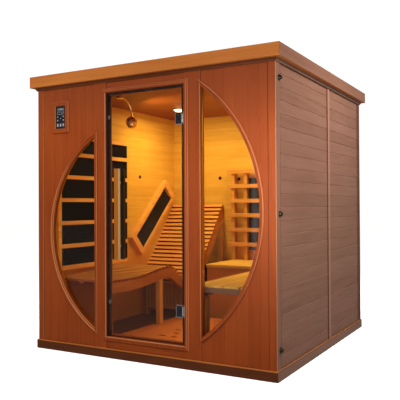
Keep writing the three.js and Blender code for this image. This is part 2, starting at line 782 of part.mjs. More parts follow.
function buildLights() {
  const profile = [
    [0, -ceilingLightHeight],
    [lensCrownRadius, -lensCrownHeight],
    [ceilingLightRadius, -lensRimHeight],
    [ceilingLightRadius, 0],
    [0, 0],
  ].map(([radius, height]) => new THREE.Vector2(radius, height));
  const light = new THREE.LatheGeometry(profile, globeFacets).rotateX(Math.PI / 2);
  light.translate(-innerX + ceilingLightWallGap, innerY - ceilingLightRearGap, ceilingBottom);
  add('ceiling_light', light, lampWhite);

  const globeZ = ceilingBottom - lampGlobeDrop;
  const neckTop = globeZ + lampGlobeRadius + lampNeckHeight;
  const stemEnd = neckTop + lampSeatGap;
  const bend = new THREE.CubicBezierCurve3(
    new THREE.Vector3(lampX, lampRoseY, ceilingBottom - lampRoseHeight / 2),
    new THREE.Vector3(lampX, lampRoseY + lampStemReach, ceilingBottom - lampRoseHeight / 2),
    new THREE.Vector3(lampX, lampGlobeY, stemEnd + lampStemBend),
    new THREE.Vector3(lampX, lampGlobeY, stemEnd),
  );
  const section = new THREE.Shape().absarc(0, 0, lampStemRadius, 0, 2 * Math.PI, false);
  const stem = new THREE.ExtrudeGeometry(section, {
    steps: stemSteps,
    curveSegments: stemFacets / 2,
    extrudePath: bend,
  });
  const roseZ = [ceilingBottom - lampRoseHeight, ceilingBottom];
  const rose = discAlongZ(lampRoseRadius, lampX, lampRoseY, roseZ);
  add('lamp_stem', join(rose, stem), bronze);

  const mouth = Math.PI - Math.asin(lampApertureRadius / lampGlobeRadius);
  const outline = [];
  for (let step = 0; step <= globeRings; step += 1) {
    const angle = mouth * step / globeRings;
    const radius = lampGlobeRadius * Math.sin(angle);
    outline.push(new THREE.Vector2(radius, -lampGlobeRadius * Math.cos(angle)));
  }
  const mouthHeight = -lampGlobeRadius * Math.cos(mouth);
  const lip = lampApertureRadius - lampApertureLip;
  outline.push(new THREE.Vector2(lip, mouthHeight));
  outline.push(new THREE.Vector2(lip, mouthHeight - lampApertureDepth));
  outline.push(new THREE.Vector2(0, mouthHeight - lampApertureDepth));
  outline[0].x = 0;
  const aim = new THREE.Quaternion().setFromUnitVectors(Y, new THREE.Vector3(...lampAim).normalize());
  const globe = new THREE.LatheGeometry(outline, globeFacets).applyQuaternion(aim);
  globe.translate(lampX, lampGlobeY, globeZ);
  const neck = discAlongZ(lampNeckRadius, lampX, lampGlobeY, [globeZ + lampGlobeRadius / 2, neckTop]);
  add('lamp_globe', join(globe, neck), bronze);
}

// Heaters and the guards before them

function buildLeftHeater() {
  const panelFace = -innerX + leftHeaterThickness;
  const heaterZ = [leftHeaterBottom, leftHeaterTop];
  const panelY = [leftHeaterFront + guardPostWidth, leftHeaterRear];
  add('left_heater_panel', box([-innerX, panelFace], panelY, heaterZ), carbon);

  const slatX = [panelFace + guardGap, panelFace + guardGap + guardSlatDepth];
  const slatY = [leftHeaterFront, leftHeaterRear - guardRearInset];
  const pieces = [
    box(slatX, [leftHeaterFront, leftHeaterFront + guardPostWidth], heaterZ),
    box(slatX, slatY, [leftHeaterBottom, leftHeaterBottom + guardRailHeight]),
    box(slatX, slatY, [leftHeaterTop - guardRailHeight, leftHeaterTop]),
  ];
  const lastSlat = leftHeaterTop - guardRailHeight - guardSlatHeight;
  for (let z = leftHeaterBottom + guardSlatRise; z < lastSlat; z += guardSlatPitch) {
    pieces.push(box(slatX, slatY, [z - guardSlatHeight / 2, z + guardSlatHeight / 2]));
  }
  add('left_heater_guard', join(...pieces), palewood);
}

// Built level, then tilted as one group: x off the wall, y along the heater, z across it
function buildSideHeater() {
  const group = new THREE.Group();
  group.position.set(-innerX, innerY - sideHeaterRearGap, sideHeaterZ);
  group.rotation.x = THREE.MathUtils.degToRad(sideHeaterTilt);
  cabin.add(group);

  const frameX = [guardGap, sideHeaterDepth];
  const frameY = [-sideHeaterLength / 2, sideHeaterLength / 2];
  const frame = box(frameX, frameY, [-sideHeaterWidth / 2, sideHeaterWidth / 2]);
  const halfLength = sideElementLength / 2;
  const halfWidth = sideElementWidth / 2;
  const hole = box(
    [-sideHeaterDepth, 2 * sideHeaterDepth],
    [-halfLength - elementGap, halfLength + elementGap],
    [-halfWidth - elementGap, halfWidth + elementGap],
  );
  add('side_heater_frame', cut(frame, hole), palewood, group);

  const trough = polygon([[guardGap, halfWidth], [guardGap, -halfWidth], [sideElementDepth, -halfWidth]]);
  trough.quadraticCurveTo(sideElementDepth - 2 * sideElementSag, 0, sideElementDepth, halfWidth);
  add('side_heater_element', alongY(trough, [-halfLength, halfLength]), carbon, group);
}

function buildBackHeater() {
  const half = backHeaterWidth / 2;
  const front = innerY - backHeaterDepth;
  const lap = backrestPostWidth / 3;
  const bulge = backrestPostDepth - lap - backHeaterDepth - backHeaterBarGap;
  const shell = polygon([[backrestX - half, innerY], [backrestX - half, front]]);
  shell.quadraticCurveTo(backrestX, front - 2 * bulge, backrestX + half, front);
  shell.lineTo(backrestX + half, innerY);
  const heaterZ = [backHeaterBottom, backHeaterBottom + backHeaterHeight];
  add('back_heater', alongZ(shell, heaterZ), carbon);

  const postFront = innerY - backrestPostDepth;
  const postY = [postFront, innerY];
  const pieces = [];
  const inner = half + elementGap;
  [-1, 1].forEach((side) => {
    [inner, backrestOuterPost - backrestPostWidth / 2].forEach((near) => {
      const postX = range(backrestX + side * near, backrestX + side * (near + backrestPostWidth));
      pieces.push(box(postX, postY, [benchTop, backrestTop]));
    });
  });
  const blockX = [backrestX - inner - lap, backrestX + inner + lap];
  const blockY = [innerY - backHeaterDepth, innerY];
  const blockTop = heaterZ[0] - elementGap;
  const blockBottom = heaterZ[1] + elementGap;
  pieces.push(box(blockX, blockY, [blockTop - backrestPostWidth, blockTop]));
  pieces.push(box(blockX, blockY, [blockBottom, blockBottom + backrestPostWidth]));
  const barX = [backrestX - backrestBarWidth / 2, backrestX + backrestBarWidth / 2];
  const barY = [postFront - backrestBarDepth, postFront + lap];
  for (let bar = 0; bar < backrestBarCount; bar += 1) {
    const top = backrestTop - bar * backrestBarPitch;
    pieces.push(box(barX, barY, [top - backrestBarHeight, top]));
  }
  add('backrest', join(...pieces), palewood);
}

function buildCalfHeater() {
  const span = [calfHeaterLeft, calfHeaterRight];
  const rear = calfHeaterY + calfHeaterDepth;
  const bottom = baseHeight + calfHeaterLift;
  const full = [calfHeaterY, rear];
  const pieces = [box(span, [rear - calfPanel, rear], [bottom, calfHeaterTop])];
  pieces.push(box(span, full, [bottom, bottom + calfRailHeight]));
  pieces.push(box(span, full, [calfHeaterTop - calfRailHeight, calfHeaterTop]));
  span.forEach((x, end) => {
    const post = end === 0 ? [x, x + calfRailHeight] : [x - calfRailHeight, x];
    pieces.push(box(post, full, [baseHeight, calfHeaterTop]));
  });
  for (let x = calfHeaterLeft + calfSlatPitch; x < calfHeaterRight - calfSlatPitch; x += calfSlatPitch) {
    const slatY = [calfHeaterY, calfHeaterY + calfPanel];
    pieces.push(box([x, x + calfSlatWidth], slatY, [bottom, calfHeaterTop]));
  }
  add('calf_heater', join(...pieces), palewood);
}

// Lounger

const loungerCurve = new THREE.SplineCurve([
  new THREE.Vector2(-innerY + loungerFootGap, loungerFootZ),
  ...loungerProfile.map(([rearGap, z]) => new THREE.Vector2(innerY - rearGap, z)),
]);

// Point of the profile at a share of its length, moved down square to the surface
function loungerPoint(share, depth) {
  const point = loungerCurve.getPointAt(share);
  const tangent = loungerCurve.getTangentAt(share);
  return [point.x + tangent.y * depth, point.y - tangent.x * depth];
}

function loungerLine(depth) {
  return Array.from({ length: profileSteps + 1 }, (_, step) => loungerPoint(step / profileSteps, depth));
}

// Slats from the foot to the head, each with its place on the profile and its directions
const loungerLength = loungerCurve.getLength();
const slatCount = Math.floor((loungerLength - loungerSlatWidth) / loungerSlatPitch) + 1;
const loungerSlats = Array.from({ length: slatCount }, (_, index) => {
  const share = (loungerSlatWidth / 2 + index * loungerSlatPitch) / loungerLength;
  return { point: loungerCurve.getPointAt(share), along: loungerCurve.getTangentAt(share) };
});

// Edge of a slat towards the foot (-1) or the head (1), at a depth below its upper face
function slatEdge({ point, along }, end, depth) {
  const reach = end * loungerSlatWidth / 2;
  return [point.x + along.x * reach + along.y * depth, point.y + along.y * reach - along.x * depth];
}

// Band under the slats: flat below each slat at one depth, and smooth at the other
function loungerBand(top, bottom) {
  const seats = loungerSlats.flatMap((slat) => [slatEdge(slat, -1, top), slatEdge(slat, 1, top)]);
  return polygon([...seats, ...loungerLine(bottom).reverse()]);
}

// Height of the rails' underside at a given depth in the cabin
function railUnderside(y) {
  const line = loungerLine(loungerSlatThickness + loungerGap + loungerRailDepth);
  const next = line.findIndex(([lineY]) => lineY > y);
  const [y0, z0] = line[next - 1];
  const [y1, z1] = line[next];
  return z0 + (z1 - z0) * (y - y0) / (y1 - y0);
}

function buildLounger() {
  const railTop = loungerSlatThickness + loungerGap;
  const rail = loungerBand(railTop, railTop + loungerRailDepth);
  const behind = box([-cabinWidth, 0], [innerY - loungerEndGap, cabinDepth], [0, wallTop]);
  const leftRail = alongX(rail, [loungerLeft, loungerLeft + loungerRailWidth]);
  const rightRail = alongX(rail, [loungerRight - loungerRailWidth, loungerRight]);
  add('lounger_rail_left', cut(leftRail, behind), palewood);
  add('lounger_rail_right', cut(rightRail, behind), palewood);

  const slats = loungerSlats.map((slat) => {
    const upper = [slatEdge(slat, -1, 0), slatEdge(slat, 1, 0)];
    const lower = [slatEdge(slat, 1, loungerSlatThickness), slatEdge(slat, -1, loungerSlatThickness)];
    return alongX(polygon([...upper, ...lower]), [loungerLeft, loungerRight]);
  });
  const stripBottom = loungerSlatThickness + loungerStripDepth;
  const strip = loungerBand(loungerSlatThickness - loungerStripLap, stripBottom);
  const middle = (loungerLeft + loungerRight) / 2;
  const spine = alongX(strip, [middle - loungerStripWidth / 2, middle + loungerStripWidth / 2]);
  add('lounger_slats', cut(join(spine, ...slats), behind), palewood);

  const rearLegY = innerY - loungerEndGap - loungerLegWidth;
  const legs = [['middle', innerY - loungerMiddleLegRearGap, deckTop], ['rear', rearLegY, baseHeight]];
  legs.forEach(([label, y, foot]) => {
    const end = y + loungerLegWidth;
    const outline = polygon([
      [y, foot],
      [end, foot],
      [end, railUnderside(end) - loungerLegGap],
      [y, railUnderside(y) - loungerLegGap],
    ]);
    const legX = [loungerRight - loungerRailWidth, loungerRight];
    add(`lounger_leg_${label}`, alongX(outline, legX), palewood);
  });
}

// Benches

// Edges of evenly spaced boards that fill a width
function boardRanges([from, to]) {
  const width = (to - from - (benchBoardCount - 1) * benchBoardGap) / benchBoardCount;
  return Array.from({ length: benchBoardCount }, (_, index) => {
    const start = from + index * (width + benchBoardGap);
    return [start, start + width];
  });
}

function buildBackBench() {
  const seatX = [loungerRight + backBenchLoungerGap, innerX];
  const seatZ = [seatBottom, benchTop];
  const boards = boardRanges([backBenchFront, innerY]).map((boardRange) => box(seatX, boardRange, seatZ));
  const riserY = [backBenchFront + riserSetback, backBenchFront + riserSetback + riserThickness];
  const battenY = [riserY[1] + benchBoardGap, innerY];
  const battenZ = [seatBottom - benchBatten, seatBottom + benchBoard / 2];
  const middle = (seatX[0] + seatX[1]) / 2;
  const battens = [seatX[0], middle - benchBattenWidth / 2, seatX[1] - benchBattenWidth].map((x) => (
    box([x, x + benchBattenWidth], battenY, battenZ)
  ));
  const lipY = [backBenchFront, riserY[1] + 2 * benchBoardGap];
  const lip = box(seatX, lipY, [seatBottom, seatBottom + benchBoard / 2]);
  add('back_bench_seat', join(...boards, ...battens, lip), palewood);
  add('back_bench_riser', box(seatX, riserY, [baseHeight, seatBottom]), redwood);
}

function buildRightBench() {
  const seatX = [rightBenchLeft, innerX];
  const seatY = [-innerY, backBenchFront - rightBenchGap];
  const boards = boardRanges(seatX).map((boardRange) => box(boardRange, seatY, [seatBottom, benchTop]));
  const apronX = [rightBenchLeft + apronSetback, rightBenchLeft + apronSetback + apronThickness];
  const lap = benchBoard / 2;
  const apron = box(apronX, seatY, [seatBottom - apronHeight, seatBottom + lap]);
  const battenZ = [seatBottom - benchBatten, seatBottom + lap];
  const middle = (seatY[0] + seatY[1]) / 2;
  const battens = [seatY[0], middle - benchBattenWidth / 2, seatY[1] - benchBattenWidth].map((y) => (
    box([apronX[0], innerX], [y, y + benchBattenWidth], battenZ)
  ));
  add('right_bench_seat', join(...boards, apron, ...battens), palewood);

  const legX = [apronX[0], apronX[0] + benchLegWidth];
  const legY = [deckFront + benchLegSetback, deckFront + benchLegSetback + benchLegWidth];
  add('right_bench_leg', box(legX, legY, [deckTop, seatBottom - apronHeight]), palewood);
}

buildFloor();
buildSideWall('left', -1);
buildSideWall('right', 1);
buildBackWall();
buildCornerTrim('left', -1);
buildCornerTrim('right', 1);
buildRoof();
buildFrontPanel('left', leftWindow, jambLeftEdge, controlPocket());
buildFrontPanel('right', rightWindow, jambRightEdge);
buildDoorFrame();
buildDoorLeaf();
buildHinge('top', hingeTopZ);
buildHinge('bottom', hingeBottomZ);
buildHandle('outer', glassFront, -1, doorGlassThickness);
buildHandle('inner', glassBack, 1, 0);
buildCatch('top', catchTopZ);
buildCatch('bottom', catchBottomZ);
buildControls();
buildLights();
buildLeftHeater();
buildSideHeater();
buildBackHeater();
buildCalfHeater();
buildLounger();
buildBackBench();
buildRightBench();

export default cabin;
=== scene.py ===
import math

import bpy
from mathutils import Matrix, Vector


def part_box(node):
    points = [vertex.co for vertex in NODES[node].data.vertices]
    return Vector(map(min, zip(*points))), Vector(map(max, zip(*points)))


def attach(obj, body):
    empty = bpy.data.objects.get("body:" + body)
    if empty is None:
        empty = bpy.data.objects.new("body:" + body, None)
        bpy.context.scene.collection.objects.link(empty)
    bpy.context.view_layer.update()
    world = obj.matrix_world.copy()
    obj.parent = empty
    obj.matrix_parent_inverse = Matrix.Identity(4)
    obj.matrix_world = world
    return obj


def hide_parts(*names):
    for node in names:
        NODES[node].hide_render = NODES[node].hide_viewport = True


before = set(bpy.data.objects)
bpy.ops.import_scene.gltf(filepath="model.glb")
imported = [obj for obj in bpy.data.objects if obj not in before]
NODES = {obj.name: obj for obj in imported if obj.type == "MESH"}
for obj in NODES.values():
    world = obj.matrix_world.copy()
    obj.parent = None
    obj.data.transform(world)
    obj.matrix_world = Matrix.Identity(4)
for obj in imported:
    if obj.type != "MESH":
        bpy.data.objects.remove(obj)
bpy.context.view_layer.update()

MM = 0.001


# Camera and studio light: places in metres

CAMERA_PLACE = (2.19703, -4.05901, 0.99387)
CAMERA_YAW = math.radians(29.428)
CAMERA_PITCH = math.radians(0.5017)
CAMERA_ROLL = math.radians(-0.3112)
CAMERA_LENS = 54.64
SENSOR_WIDTH = 36.0


def make_camera():
    data = bpy.data.cameras.new("camera")
    data.lens = CAMERA_LENS
    data.sensor_width = SENSOR_WIDTH
    camera = bpy.data.objects.new("camera", data)
    bpy.context.scene.collection.objects.link(camera)
    level = math.cos(CAMERA_PITCH)
    forward = Vector((
        -math.sin(CAMERA_YAW) * level, math.cos(CAMERA_YAW) * level, math.sin(CAMERA_PITCH),
    ))
    right = Vector((math.cos(CAMERA_YAW), math.sin(CAMERA_YAW), 0.0))
    up = right.cross(forward)
    rolled_right = right * math.cos(CAMERA_ROLL) + up * math.sin(CAMERA_ROLL)
    rolled_up = up * math.cos(CAMERA_ROLL) - right * math.sin(CAMERA_ROLL)
    basis = Matrix((rolled_right, rolled_up, -forward)).transposed()
    camera.matrix_world = Matrix.Translation(CAMERA_PLACE) @ basis.to_4x4()
    bpy.context.scene.camera = camera


STUDIO_WHITE = (1.0, 0.985, 0.965)
LAMP_GLOW = (1.0, 0.90, 0.36)
BENCH_GLOW = (1.0, 1.0, 0.40)
BACKDROP = 1.06
AMBIENT = 0.32
KEY_SPREAD = math.radians(140)
SOFTBOX_HEIGHT = 1.2

# Place, aim, power in watts, size, colour, and whether the light shows in glossy faces
LIGHTS = {
    "key": ((1.2, -1.62, 1.12), (0.75, -0.9, 1.12), 5.4, 0.5, STUDIO_WHITE, True),
    "softbox": ((0.45, -1.9, 1.10), (0.75, -0.9, 1.10), 9, 0.35, STUDIO_WHITE, True),
    "key_left": ((-0.60, -1.70, 1.36), (-0.62, -0.9, 1.34), 1.2, 0.4, STUDIO_WHITE, False),
    "front_fill": ((-0.9, -4.2, 2.5), (-0.3, -0.9, 1.2), 60, 2.0, STUDIO_WHITE, False),
    "front_left": ((-1.6, -2.6, 2.3), (-0.8, -0.9, 1.8), 5, 0.6, STUDIO_WHITE, False),
    "side": ((2.5, 0.1, 2.6), (0.9, 0.1, 1.5), 58, 0.8, STUDIO_WHITE, False),
    "side_left": ((-2.9, 0.1, 2.9), (-0.9, 0.1, 1.1), 60, 1.0, STUDIO_WHITE, False),
    "rear": ((0.0, 3.2, 2.9), (0.0, 0.9, 1.1), 60, 1.0, STUDIO_WHITE, False),
    "inside_ceiling": ((-0.45, 0.29, 1.775), (-0.45, 0.29, 0.0), 6.6, 0.09, LAMP_GLOW, True),
    "inside_globe": ((-0.47, -0.275, 1.605), (0.08, 0.53, 1.365), 3.6, 0.05, LAMP_GLOW, False),
    "inside_deck": ((0.26, -0.42, 0.50), (0.30, -0.45, 0.0), 1.6, 0.2, LAMP_GLOW, False),
    "inside_bench": ((0.45, 0.35, 1.77), (0.45, 0.35, 0.0), 10, 0.5, BENCH_GLOW, True),
}


def make_world():
    """White backdrop for the camera, and a softer white that lights the cabin."""
    world = bpy.data.worlds.new("studio")
    world.use_nodes = True
    tree = world.node_tree
    background = tree.nodes["Background"]
    background.inputs["Color"].default_value = (*STUDIO_WHITE, 1.0)
    path = tree.nodes.new("ShaderNodeLightPath")
    strength = tree.nodes.new("ShaderNodeMapRange")
    strength.inputs["To Min"].default_value = AMBIENT
    strength.inputs["To Max"].default_value = BACKDROP
    tree.links.new(path.outputs["Is Camera Ray"], strength.inputs["Value"])
    tree.links.new(strength.outputs["Result"], background.inputs["Strength"])
    bpy.context.scene.world = world
    bpy.context.scene.view_settings.view_transform = "Standard"


def make_light(name, place, aim, power, size, colour, glossy):
    data = bpy.data.lights.new(name, "AREA")
    data.energy = power
    data.color = colour
    data.shape = "DISK"
    data.size = size
    light = bpy.data.objects.new(name, data)
    light.location = place
    light.rotation_euler = (Vector(aim) - Vector(place)).to_track_quat("-Z", "Y").to_euler()
    light.visible_camera = False
    light.visible_glossy = glossy
    light.visible_transmission = False
    bpy.context.scene.collection.objects.link(light)
    return light


def make_lights():
    lights = {name: make_light(name, *values) for name, values in LIGHTS.items()}
    lights["key"].data.spread = KEY_SPREAD
    softbox = lights["softbox"]
    softbox.data.shape = "RECTANGLE"
    softbox.data.size_y = SOFTBOX_HEIGHT
    softbox.visible_diffuse = False


# Shader nodes

class Graph:
    """Shader nodes of one material, with its Principled shader."""

    def __init__(self, name):
        self.material = bpy.data.materials.new(name)
        self.material.use_nodes = True
        self.tree = self.material.node_tree
        self.shader = self.tree.nodes["Principled BSDF"]
        texture = self.node("ShaderNodeTexCoord")
        self.coords = texture.outputs["Object"]
        self.axis = self.split(self.coords)
        self.facing = self.split(texture.outputs["Normal"])

    def node(self, kind, settings=None, **inputs):
        made = self.tree.nodes.new(kind)
        for key, value in (settings or {}).items():
            setattr(made, key, value)
        for key, value in inputs.items():
            self.put(made.inputs[key.replace("_", " ")], value)
        return made

    def put(self, socket, value):
        if isinstance(value, bpy.types.NodeSocket):
            self.tree.links.new(value, socket)
        elif isinstance(value, tuple) and len(value) == 3 and socket.type == "RGBA":
            socket.default_value = (*value, 1.0)
        else:
            socket.default_value = value

    def split(self, vector):
        made = self.node("ShaderNodeSeparateXYZ", Vector=vector)
        return {"x": made.outputs["X"], "y": made.outputs["Y"], "z": made.outputs["Z"]}

    def math(self, operation, first, second=0.0):
        made = self.node("ShaderNodeMath", {"operation": operation})
        self.put(made.inputs[0], first)
        self.put(made.inputs[1], second)
        return made.outputs[0]

    def times(self, first, second):
        return self.math("MULTIPLY", first, second)

    def size(self, value):
        return self.math("ABSOLUTE", value)

    def step(self, value, low, high, start=0.0, end=1.0):
        made = self.node("ShaderNodeMapRange", {"interpolation_type": "SMOOTHSTEP"})
        for index, item in enumerate((value, low, high, start, end)):
            self.put(made.inputs[index], item)
        return made.outputs[0]

    def mix(self, share, first, second):
        """Colour between two colours."""
        made = self.node("ShaderNodeMix", {"data_type": "RGBA"})
        self.put(made.inputs[0], share)
        self.put(made.inputs[6], first)
        self.put(made.inputs[7], second)
        return made.outputs[2]

    def blend(self, share, first, second):
        """Number between two numbers."""
        made = self.node("ShaderNodeMix", {"data_type": "FLOAT"})
        self.put(made.inputs[0], share)
        self.put(made.inputs[2], first)
        self.put(made.inputs[3], second)
        return made.outputs[0]

    def vector(self, x, y, z):
        return self.node("ShaderNodeCombineXYZ", X=x, Y=y, Z=z).outputs[0]

    def stretched(self, scales):
        """Coordinates with a scale for each axis."""
        parts = (self.times(self.axis[name], scale) for name, scale in zip("xyz", scales))
        return self.vector(*parts)

    def noise(self, vector, scale=1.0, detail=4.0, rough=0.55, distortion=0.0):
        made = self.node(
            "ShaderNodeTexNoise", Vector=vector, Scale=scale, Detail=detail,
            Roughness=rough, Distortion=distortion,
        )
        return made.outputs[0]

    def ramp(self, share, places, colours):
        made = self.node("ShaderNodeValToRGB", Fac=share)
        elements = made.color_ramp.elements
        while len(elements) < len(places):
            elements.new(0.5)
        for element, place, colour in zip(elements, places, colours):
            element.position = place
            element.color = (*colour, 1.0)
        return made.outputs[0]

    def bump(self, height, strength, distance):
        made = self.node("ShaderNodeBump", Strength=strength, Distance=distance, Height=height)
        return made.outputs[0]

    def finish(self, **inputs):
        for key, value in inputs.items():
            self.put(self.shader.inputs[key.replace("_", " ")], value)
        return self.material


def scaled(colour, factor):
    return tuple(part * factor for part in colour)


# Wood: three tones of a stain, deep, middle and pale

RED_TONES = ((0.200, 0.029, 0.0026), (0.305, 0.053, 0.0068), (0.385, 0.080, 0.0125))
PLINTH_TONES = ((0.070, 0.015, 0.003), (0.112, 0.027, 0.007), (0.150, 0.040, 0.012))
FASCIA_TONES = ((0.365, 0.097, 0.016), (0.480, 0.147, 0.027), (0.565, 0.194, 0.040))
FASCIA_SIDE_TONES = ((0.155, 0.064, 0.036), (0.207, 0.092, 0.054), (0.250, 0.115, 0.068))
SIDE_TONES = ((0.175, 0.078, 0.046), (0.235, 0.112, 0.072), (0.285, 0.142, 0.095))
BACK_EDGE_TONES = ((0.085, 0.030, 0.016), (0.120, 0.044, 0.024), (0.155, 0.060, 0.034))
LINING_TONES = ((0.545, 0.238, 0.030), (0.680, 0.336, 0.050), (0.775, 0.418, 0.076))
CEILING_TONES = ((0.202, 0.043, 0.008), (0.268, 0.061, 0.012), (0.324, 0.080, 0.019))
DECK_TONES = ((0.370, 0.080, 0.007), (0.480, 0.112, 0.011), (0.570, 0.148, 0.017))
GOLD_TONES = ((0.430, 0.145, 0.022), (0.620, 0.245, 0.045), (0.740, 0.335, 0.075))
GUARD_TONES = ((0.580, 0.215, 0.038), (0.800, 0.345, 0.072), (0.900, 0.450, 0.115))
SLAT_TONES = ((0.520, 0.165, 0.022), (0.740, 0.280, 0.046), (0.850, 0.370, 0.075))
RAIL_TONES = ((0.300, 0.080, 0.010), (0.430, 0.128, 0.019), (0.530, 0.180, 0.032))
BENCH_TONES = ((0.640, 0.300, 0.045), (0.800, 0.420, 0.075), (0.880, 0.510, 0.110))
HANDLE_TONES = ((0.260, 0.076, 0.007), (0.360, 0.115, 0.013), (0.460, 0.165, 0.024))
# Painted highlight on the side faces of the outer handle
HANDLE_LIT_SIDE_TONES = ((0.700, 0.420, 0.160), (0.800, 0.520, 0.220), (0.880, 0.600, 0.280))
# Painted shade on the inner handle, the same wood as the outer one
INNER_HANDLE_SHADE_TONES = ((0.020, 0.010, 0.006), (0.036, 0.019, 0.012), (0.052, 0.029, 0.020))
# Painted shade on the faces of the lounger slats that don't look up
SLAT_SIDE_SHADE = (0.300, 0.056, 0.008)
# Painted shade on the right bench below its seat's top
SEAT_SHADE = (0.220, 0.085, 0.040)

# Grain: scales along and across it, and the share of each pattern in the tone
FIGURE_SCALES = (1.6, 26.0)
STREAK_SCALES = (5.0, 210.0)
CLOUD_SCALE = 2.3
FIGURE_SHARE = 1.25
STREAK_SHARE = 0.75
CLOUD_SHARE = 0.35
BOARD_SHIFT = 37.0
TONE_PLACES = (0.08, 0.5, 0.95)
STREAK_SPAN = (0.2, 0.8)
WOOD_ROUGH = (0.38, 0.56)
STREAK_HEIGHT = 0.3
SEAM_DEPTH = 3.0
SEAM_DARK = 0.3
WOOD_BUMP = (0.5, 0.4 * MM)

# Boards: pitch and start; seams: width and darkness; grooves: axis, depths and share
BOARD_PITCH = 77 * MM
LINING_PITCH = BOARD_PITCH * 1.1
SLAT_PITCH = 62 * MM
WALL_BOTTOM = 55 * MM
LEFT_FRONT_END = -0.458
RIGHT_FRONT_START = 0.413
BACK_BENCH_FRONT = 0.33
RIGHT_BENCH_EDGE = 0.34
SEAT_BOTTOM = 498.0 * MM
THIN_SEAM = (2.2 * MM, 0.22)
SLAT_SEAM = (5.0 * MM, 0.7)
# The V joints' bottoms are painted paler, as painted light against their shade
LEFT_GROOVE = ("y", 880.5 * MM, 883.7 * MM, 0.6)
RIGHT_GROOVE = ("y", 880.5 * MM, 883.7 * MM, 0.4)
SIDE_GROOVE = ("x", 890.5 * MM, 893.7 * MM, 0.4)
GROOVE_LIGHT_GAIN = 1.5

# Painted shadow on the red front below the roof's edge
EAVE_HEIGHTS = (1.42, 1.80)
EAVE_SHARE = 0.42
EAVE_SHADOW_TONE = (0.175, 0.040, 0.015)

# Cover strip at the joint of the side walls' two panels, and painted shadow in the gap before it
STRIP_START = 60 * MM
STRIP_GAP = 16.0 * MM
STRIP_BASE = 894.6 * MM
STRIP_SHARE = 0.6
STRIP_TONE = (0.400, 0.195, 0.125)
STRIP_GAP_SHADOW = (0.090, 0.026, 0.014)

# Parts of a unit normal at which a face counts as turned to a side, up or away from the front
AROUND_TURN = (0.4, 0.6)
SIDE_TURN = (0.5, 0.8)
UP_TURN = (0.02, 0.3)
EDGE_TURN = (0.2, 0.4)
FRONT_TURN = (0.86, 0.96)

# Eased edges: painted highlight where they look right and up, painted shade where they look left
# and down, as if lit from the right and above
PAINTED_LIGHT_FROM = (0.75, 0.66)
PALE_TURN = (-0.1, 0.45)
DARK_TURN = (-0.5, -0.1)
LEDGE_TURN = (0.55, 0.65)
EDGE_SHARE = 0.62
EDGE_HIGHLIGHT = (0.800, 0.340, 0.145)
EDGE_SHADE = (0.090, 0.016, 0.004)

# Inner faces: half sizes that hold them, and the painted shade that makes the boards near the
# floor redder
LINING_X = 852.5 * MM
LINING_Y = 842.5 * MM
LOW_HEIGHTS = (360.0 * MM, 700.0 * MM)
LOW_SHARE = 0.75
LOW_SHADE_TONE = (0.540, 0.118, 0.014)


def grain_vector(graph, grain, scales, shift):
    """Coordinates drawn out along the grain: x, y, z, or around for boards round the cabin."""
    axis = graph.axis
    along, across = scales
    if grain == "around":
        sideways = graph.step(graph.size(graph.facing["x"]), *AROUND_TURN)
        parts = (
            (graph.blend(sideways, axis["x"], axis["y"]), along),
            (graph.blend(sideways, axis["y"], axis["x"]), across),
            (axis["z"], across),
        )
    else:
        parts = [(axis[name], along if name == grain else across) for name in "xyz"]
    x, y, z = (graph.times(part, scale) for part, scale in parts)
    return graph.vector(graph.math("ADD", x, shift), y, z)


def wood_layer(graph, tones, grain, boards=None, seams=None, contrast=1.0, differ=0.2):
    """Colour, roughness and height of boards: boards is (axis, pitch, start), seams is
    (width, darkness), contrast scales the grain, and differ the tone from board to board."""
    shift, board, seam = 0.0, 0.5, 0.0
    if boards:
        across, pitch, start = boards
        place = graph.math("DIVIDE", graph.math("SUBTRACT", graph.axis[across], start), pitch)
        number = graph.math("FLOOR", place)
        draw = graph.node("ShaderNodeTexWhiteNoise", {"noise_dimensions": "1D"}, W=number)
        board = draw.outputs["Value"]
        shift = graph.times(board, BOARD_SHIFT)
        if seams:
            reach = graph.times(graph.math("PINGPONG", place, 0.5), pitch)
            seam = graph.step(reach, 0.0, seams[0], 1.0, 0.0)
    figure = graph.noise(
        grain_vector(graph, grain, FIGURE_SCALES, shift), detail=5.0, rough=0.6, distortion=0.8,
    )
    streak = graph.noise(grain_vector(graph, grain, STREAK_SCALES, shift), detail=3.0, rough=0.6)
    cloud = graph.noise(graph.coords, scale=CLOUD_SCALE, detail=2.0)
    patterns = (
        (figure, FIGURE_SHARE * contrast), (streak, STREAK_SHARE * contrast),
        (cloud, CLOUD_SHARE), (board, differ),
    )
    share = 0.5
    for pattern, weight in patterns:
        swing = graph.times(graph.math("SUBTRACT", pattern, 0.5), weight)
        share = graph.math("ADD", share, swing)
    colour = graph.ramp(share, TONE_PLACES, tones)
    if seams:
        colour = graph.mix(graph.times(seam, seams[1]), colour, scaled(tones[0], SEAM_DARK))
    rough = graph.step(streak, *STREAK_SPAN, *WOOD_ROUGH)
    height = graph.times(streak, STREAK_HEIGHT)
    height = graph.math("SUBTRACT", height, graph.times(seam, SEAM_DEPTH))
    return colour, rough, height


def faces_sideways(graph):
    return graph.step(graph.size(graph.facing["x"]), *SIDE_TURN)


def add_groove(graph, colour, tones, groove):
    """Paler bottoms of the V joints between boards: painted light against their shade."""
    axis, bottom, top, share = groove
    depth = graph.size(graph.axis[axis])
    below = graph.math("LESS_THAN", depth, top)
    above = graph.math("GREATER_THAN", depth, bottom)
    mask = graph.times(graph.times(below, above), share)
    return graph.mix(mask, colour, scaled(tones[2], GROOVE_LIGHT_GAIN))


